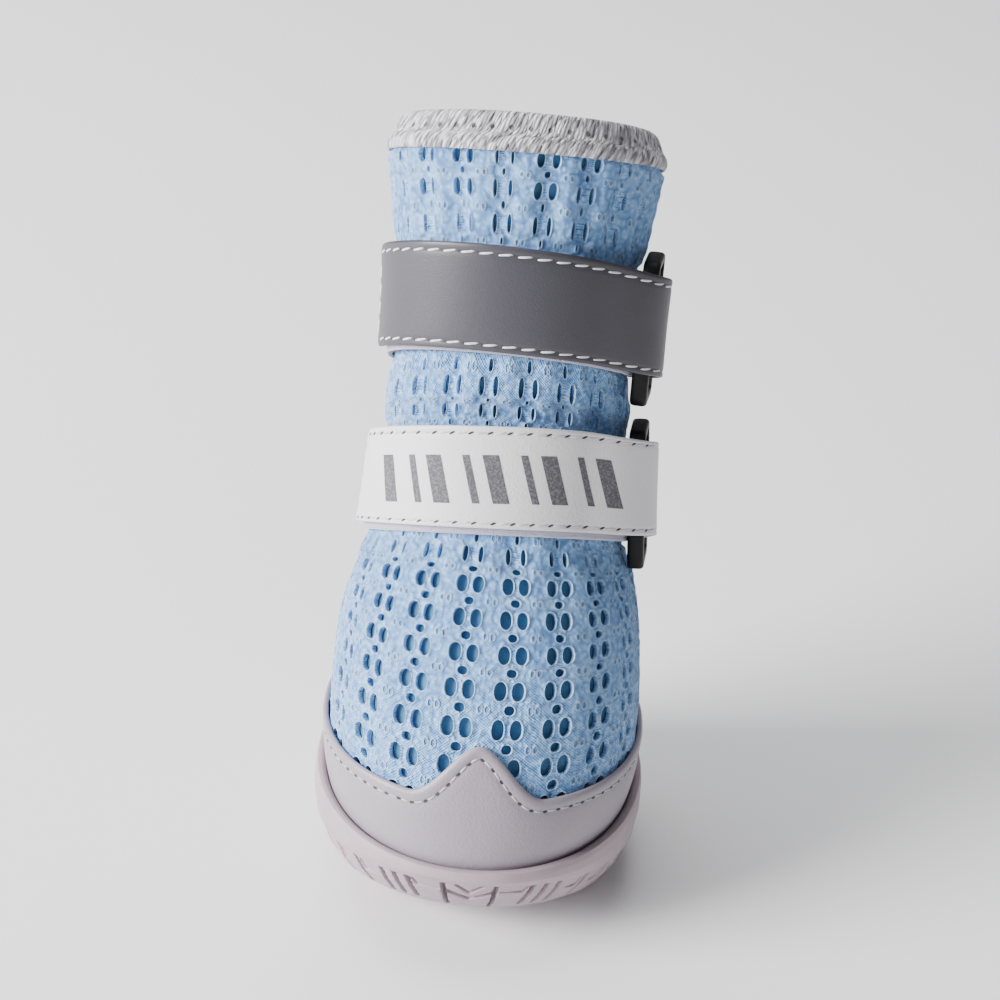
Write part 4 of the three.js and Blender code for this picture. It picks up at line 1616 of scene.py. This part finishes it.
@dataclass
class Sole:
    """The cupped rubber sole with its lip, foxing and tread."""

    rows: tuple[SoleRow, ...] = (
        SoleRow("lip", 0.0, 17.2, 21.0, 21.6),
        SoleRow("foxing top", 0.45, 16.0, 19.6, 20.4),
        SoleRow("foxing", 0.55, 13.0, 15.2, 19.0),
        SoleRow("foxing foot", 0.00, 10.0, 10.6, 17.8),
        SoleRow("tread top", -0.50, 9.4, 9.9, 17.2),
        SoleRow("tread side", -1.90, 5.4, 5.6, 14.4),
        SoleRow("shoulder", -4.20, 2.0, 2.0, 11.6),
        SoleRow("ground edge", -7.40, 0.0, 0.0, 9.8),
    )
    gap: float = 0.3
    guard: float = 1.0
    lip: float = 1.6
    rise_from: float = -10.0
    rise_to: float = -38.0
    heel_end: float = 34.0
    heel_run: float = 30.0
    around: int = 700
    groove_deep: float = 1.3
    line_deep: float = 0.7

    @property
    def centre(self) -> float:
        """The middle of the rim along the foot."""
        row = FORM.row(1.0)
        return float(row[0] + row[2]) / 2

    def rise(self, x: Array, y: Array) -> Array:
        """How far the toe's spring has risen at a place of the plan."""
        ahead = self.rise_from - y + 5 * (x / 30) ** 2
        return np.clip(ahead / (self.rise_from - self.rise_to), 0, 1.1) ** 1.6

    def height(self, heel: Array, middle: Array, toe: Array, x: Array, y: Array) -> Array:
        """Height of a ring of the outside at a place of the plan, from its heights along the foot."""
        return mix(mix(heel, middle, smooth((self.heel_end - y) / self.heel_run)), toe, self.rise(x, y))

    def outside(self, place_: Array, angle: Array) -> Array:
        """Points of the outside, where place_ counts down the rows.

        Args:
            place_: where down the rows.
            angle: where round the sections.

        Returns:
            One point for each place.
        """
        table = np.array([[r.out, r.heel_z, r.middle_z, r.toe_z] for r in self.rows])
        out, heel, middle, toe = (np.interp(place_, np.arange(len(table)), table[:, k]) for k in range(4))
        rim = FORM.offset(1.0, angle, 2 * self.gap + self.guard + self.lip)
        flat = rim[..., :2] - [0, self.centre]
        length = np.linalg.norm(flat, axis=-1)
        flat = flat * ((length + out) / length)[..., None]
        x, y = flat[..., 0], flat[..., 1] + self.centre
        return np.stack([x, y, self.height(heel, middle, toe, x, y)], axis=-1)

    def floor_height(self, x: Array, y: Array) -> Array:
        """Height of the cup's floor.

        Args:
            x: across the foot.
            y: along the foot.

        Returns:
            One height for each place of the plan.
        """
        front_y, front_z, back_y, back_z, _, _, sag = FORM.row(0.0)
        along = (y - (front_y + back_y) / 2) / (front_y - back_y)
        rise = (front_z + back_z) / 2 + along * (front_z - back_z)
        return rise - sag * (1 - 4 * np.clip(along, -0.5, 0.5) ** 2) - self.gap

    def shrunk(self, loop: Array, share: float) -> Array:
        """A loop's plan drawn in towards the middle of the foot.

        Args:
            loop: points of the loop.
            share: how much of its size it keeps.

        Returns:
            Points at height 0.
        """
        x = loop[:, 0] * share
        y = self.centre + (loop[:, 1] - self.centre) * share
        return np.stack([x, y, np.zeros_like(x)], axis=1)

    @staticmethod
    def near_lines(u: Array, v: Array, lines: list[tuple[float, float, float, float]], width: float) -> Array:
        """How deep in any of the lines each place lies, from 0 to 1.

        Args:
            u: first coordinate of the places.
            v: second coordinate.
            lines: the ends of each line, u and v of one and then of the other.
            width: of the lines.

        Returns:
            1 in a line's bed and 0 outside its edges.
        """
        deep = np.zeros_like(u)
        for u0, v0, u1, v1 in lines:
            du, dv = u1 - u0, v1 - v0
            t = np.clip(((u - u0) * du + (v - v0) * dv) / (du * du + dv * dv), 0, 1)
            far = np.hypot(u - u0 - t * du, v - v0 - t * dv)
            deep = np.maximum(deep, smooth((width / 2 + 0.16 - far) / 0.32))
        return deep

    def side_lines(self) -> tuple[list, list]:
        """Main grooves and fine lines of the tread's side, by distance from the toe and down from its top.

        Returns:
            The two lists of lines.
        """
        main, fine = [], []
        for side in (-1, 1):
            main.append((side * 5.2, 0.1, side * 4.7, 12.0))
            main.append((0.0, 6.0, side * 4.6, 2.9))
            fine.append((0.0, 3.1, side * 2.5, 0.4))
            fine.append((side * 6.2, 2.5, side * 10.6, 2.4))
            fine.append((side * 10.6, 2.4, side * 11.5, 0.5))
            main += [(side * (start + 1.2), 0.1, side * (start - 0.4), 9.0) for start in (11.5, 14.5, 17.5)]
            for number in range(14):
                start = 24.5 + number * 7.0
                main.append((side * (start + 1.6), 0.1, side * (start - 1.2), 9.0))
                fine.append((side * (start - 3.4), 3.4, side * (start - 1.0), 3.2))
                fine.append((side * (start - 1.0), 3.2, side * (start - 0.1), 0.8))
        return main, fine

    def plan_lines(self) -> tuple[list, list]:
        """Main grooves and fine lines of the underside, by their places in the plan.

        Returns:
            The two lists of lines.
        """
        main, fine = [], []
        for side in (-1, 1):
            main.append((side * 13, -30, side * 13, 33))
            for y in (-16, -2, 12):
                main.append((0, y - 4, side * 13, y + 2))
                main.append((side * 13, y + 4, side * 36, y + 9))
                fine.append((0, y + 2, side * 9.5, y + 6.4))
                fine.append((side * 16, y + 10.5, side * 23, y + 12))
        return main, fine

    def shell(self) -> Shape:
        """The whole sole as one surface, from the middle of its cup round to the middle of its tread.

        Returns:
            The sole's shape.
        """
        angle = np.linspace(0, 2 * math.pi, self.around, endpoint=False)
        cup_levels = (0.0, 0.1, 0.3, 0.6, 0.85, 0.95, 1.0)
        cup = [FORM.offset(level, angle, 2 * self.gap + self.guard) for level in cup_levels]
        floor = cup[0]
        rows, deep = [], []
        for share in (0.02, 0.3, 0.6, 0.85, 0.95):
            row = self.shrunk(floor, share)
            row[:, 2] = self.floor_height(row[:, 0], row[:, 1])
            rows.append(row)
        edge = floor.copy()
        edge[:, 2] = self.floor_height(edge[:, 0], edge[:, 1])
        rows += [edge] + cup[1:6]
        lip_in, lip_out = cup[6], self.outside(np.zeros_like(angle), angle)
        rows.append(mix(lip_in, lip_out, 0.12) * [1, 1, 0] + (lip_out * [0, 0, 1] - [0, 0, 0.25]))
        rows.append(mix(lip_in, lip_out, 0.4) * [1, 1, 0] + lip_out * [0, 0, 1])
        rows.append(mix(lip_in, lip_out, 0.75) * [1, 1, 0] + lip_out * [0, 0, 1])
        deep += [np.zeros(self.around)] * len(rows)
        places = np.concatenate([
            np.linspace(0.12, 3.7, 20), np.linspace(3.82, 4.0, 4), np.linspace(4.05, 7.0, 34)])
        side = np.stack([self.outside(np.full_like(angle, p), angle) for p in places])
        top = int(np.searchsorted(places, 4.0))
        down = np.cumsum(np.linalg.norm(np.diff(side[top:], axis=0), axis=2), axis=0)
        down = np.vstack([np.zeros((1, self.around)), down])
        ring = self.outside(np.full_like(angle, 5.0), angle)
        length = curve_length(np.vstack([ring, ring[:1]]))
        toe = float(np.interp(TOE, angle, length[:-1]))
        round_ = -(length[:-1] - toe)
        round_ = (round_ + length[-1] / 2) % length[-1] - length[-1] / 2
        under_main, under_fine = self.plan_lines()
        side_main, side_fine = self.side_lines()
        for index in range(len(places)):
            rows.append(side[index])
            if index < top:
                deep.append(np.zeros(self.around))
                continue
            t = down[index - top]
            cut = self.groove_deep * self.near_lines(round_, t, side_main, 0.85)
            cut = np.maximum(cut, self.line_deep * self.near_lines(round_, t, side_fine, 0.45))
            deep.append(cut * smooth((index - top + 1) / 2.0))
        ground = side[-1]
        foot = self.rows[-1]
        for share in np.linspace(1, 0.01, 58)[1:]:
            row = self.shrunk(ground, share)
            x, y = row[:, 0], row[:, 1]
            row[:, 2] = self.height(foot.heel_z, foot.middle_z, foot.toe_z, x, y)
            rows.append(row)
            cut = self.groove_deep * self.near_lines(x, y, under_main, 1.5)
            cut = np.maximum(cut, self.line_deep * self.near_lines(x, y, under_fine, 0.7))
            deep.append(cut)
        grid, deep = np.stack(rows), np.stack(deep)
        along = np.gradient(grid, axis=0)
        across = (np.roll(grid, -1, 1) - np.roll(grid, 1, 1)) / 2
        normal = np.cross(across, along)
        normal /= np.maximum(np.linalg.norm(normal, axis=2, keepdims=True), 1e-9)
        outward = side[10, 0] - [0, self.centre, 10]
        if np.dot(normal[24, 0], outward) < 0:
            normal = -normal
        shape = Shape("sole_moulding")
        shape.add_grid(grid - normal * deep[..., None], (False, True), caps=True)
        # the groove value darkens the rubber in the grooves: painted shade
        shape.values["groove"] = [np.clip(deep / self.groove_deep, 0, 1).ravel()]
        return shape

    def insole(self) -> Shape:
        """The insole, a little crowned, with a pressed edge.

        Returns:
            The insole's shape.
        """
        angle = np.linspace(0, 2 * math.pi, 120, endpoint=False)
        edge = FORM.offset(0.08, angle, -3.0)
        rows = []
        profile = (
            (0.02, 3.5), (0.3, 3.4), (0.55, 3.3), (0.75, 3.2), (0.88, 3.1), (0.95, 2.9), (0.985, 2.4),
            (1.0, 1.6), (0.99, 0.8), (0.95, 0.4), (0.6, 0.4), (0.02, 0.4),
        )
        for share, up in profile:
            row = self.shrunk(edge, share)
            row[:, 2] = self.floor_height(row[:, 0], row[:, 1]) + up
            rows.append(row)
        shape = Shape("insole_pad")
        shape.add_grid(np.stack(rows), (False, True), caps=True)
        return shape

    def build(self) -> list[bpy.types.Object]:
        """Makes the sole and the insole.

        Returns:
            The pieces.
        """
        sole = self.shell().build(Rubber().build(), 50)
        cloth = Cloth("insole_cloth", (0.20, 0.27, 0.35), (0.13, 0.18, 0.25), 0.7).build()
        pad = self.insole().build(cloth, 60)
        return [place(sole, "sole_rubber", "sole"), place(pad, "insole_fabric", "insole")]


# ---------------------------------------------------------------- studio


@dataclass
class Studio:
    """A plain pale floor, soft light from the left, and the camera."""

    target: tuple[float, float, float] = (0.0, 0.008, 0.078)
    distance: float = 0.470
    elevation: float = 30.0
    roll: float = 4.5
    lens: float = 84.0
    floor_half: float = 4000.0

    def floor(self) -> bpy.types.Object:
        """Makes the floor.

        Returns:
            The floor's object.
        """
        g = Graph("pale_floor")
        material = g.finish(g.blend(g.noise(60.0), (0.93, 0.93, 0.94), (0.95, 0.95, 0.96)), 0.8, None, 0.0)
        shape = Shape("studio_floor")
        half = self.floor_half
        corners = [[-half, -half, 0], [half, -half, 0], [half, half, 0], [-half, half, 0]]
        shape.add(np.array(corners), [[0, 1, 2, 3]])
        floor = shape.build(material)
        return floor

    def light(
        self, name: str, place_: tuple[float, float, float], size: float, power: float, colour: Colour
    ) -> None:
        """Adds a soft square light that faces the boot.

        Args:
            name: of the light.
            place_: where it stands, in metres.
            size: its side, in metres.
            power: in watts.
            colour: of its light.
        """
        data = bpy.data.lights.new(name, "AREA")
        data.size = size
        data.energy = power
        data.color = colour
        lamp = bpy.data.objects.new(name, data)
        lamp.location = place_
        lamp.rotation_euler = (Vector(self.target) - Vector(place_)).to_track_quat("-Z", "Y").to_euler()
        bpy.context.scene.collection.objects.link(lamp)

    def camera(self) -> None:
        """Makes the camera and gives it the boot's own lean."""
        data = bpy.data.cameras.new("camera")
        data.lens = self.lens
        data.sensor_width = 36.0
        data.clip_start = 0.01
        data.clip_end = 50.0
        camera = bpy.data.objects.new("camera", data)
        rise = math.radians(self.elevation)
        back = Vector((0.0, -math.cos(rise), math.sin(rise)))
        ahead = (-back).to_track_quat("-Z", "Y").to_matrix().to_4x4()
        turn = ahead @ Matrix.Rotation(math.radians(self.roll), 4, "Z")
        camera.matrix_world = Matrix.Translation(Vector(self.target) + back * self.distance) @ turn
        bpy.context.scene.collection.objects.link(camera)
        bpy.context.scene.camera = camera

    def build(self) -> None:
        """Sets up the studio."""
        self.camera()
        self.floor()
        self.light("key", (-1.35, -0.5, 0.62), 0.8, 82.0, (1.0, 0.99, 0.98))
        self.light("fill", (0.95, -0.75, 0.45), 0.9, 0.5, (0.95, 0.97, 1.0))
        self.light("top", (-0.2, 0.45, 1.1), 0.9, 12.0, (1.0, 1.0, 1.0))
        world = bpy.data.worlds.new("studio_air")
        bpy.context.scene.world = world
        world.use_nodes = True
        world.node_tree.nodes["Background"].inputs[0].default_value = (0.95, 0.96, 1.0, 1.0)
        world.node_tree.nodes["Background"].inputs[1].default_value = 0.22


# ---------------------------------------------------------------- assembly


def main() -> None:
    """Builds the boot and its studio, and reports each piece."""
    logging.basicConfig(level=logging.INFO, format="%(message)s")
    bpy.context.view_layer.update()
    Studio().build()
    low = Strap(
        "low_strap", "low strap bottom", "low strap top", -0.7, -1.9, 1.2, 3.0, -0.4,
        SyntheticLeather("pale_strap_leather", (0.76, 0.75, 0.77), (0.68, 0.67, 0.69), 0.45),
        Thread("pale_strap_thread", (0.72, 0.71, 0.73)),
        Seam(3.8, 2.6, 0.17, 0.62, 0.26, -9.0), 1.9, printed=True)
    top = Strap(
        "top_strap", "top strap bottom", "top strap top", 1.0, 1.3, 0.5, 1.7, 0.1,
        SyntheticLeather("dark_strap_leather", (0.052, 0.049, 0.063), (0.038, 0.036, 0.047), 0.44, 0.3, 0.03),
        Thread("dark_strap_thread", (0.84, 0.83, 0.86)), Seam(3.7, 2.75, 0.22, 0.32, 0.24, -8.0), 1.9)
    for assembly in (Sole(), AirMesh(), ToeGuard(), CollarBinding(), low, top):
        for piece in assembly.build():
            log.info("%s: %d faces", piece.name, len(piece.data.polygons))
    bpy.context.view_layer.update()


if __name__ == "__main__":
    main()
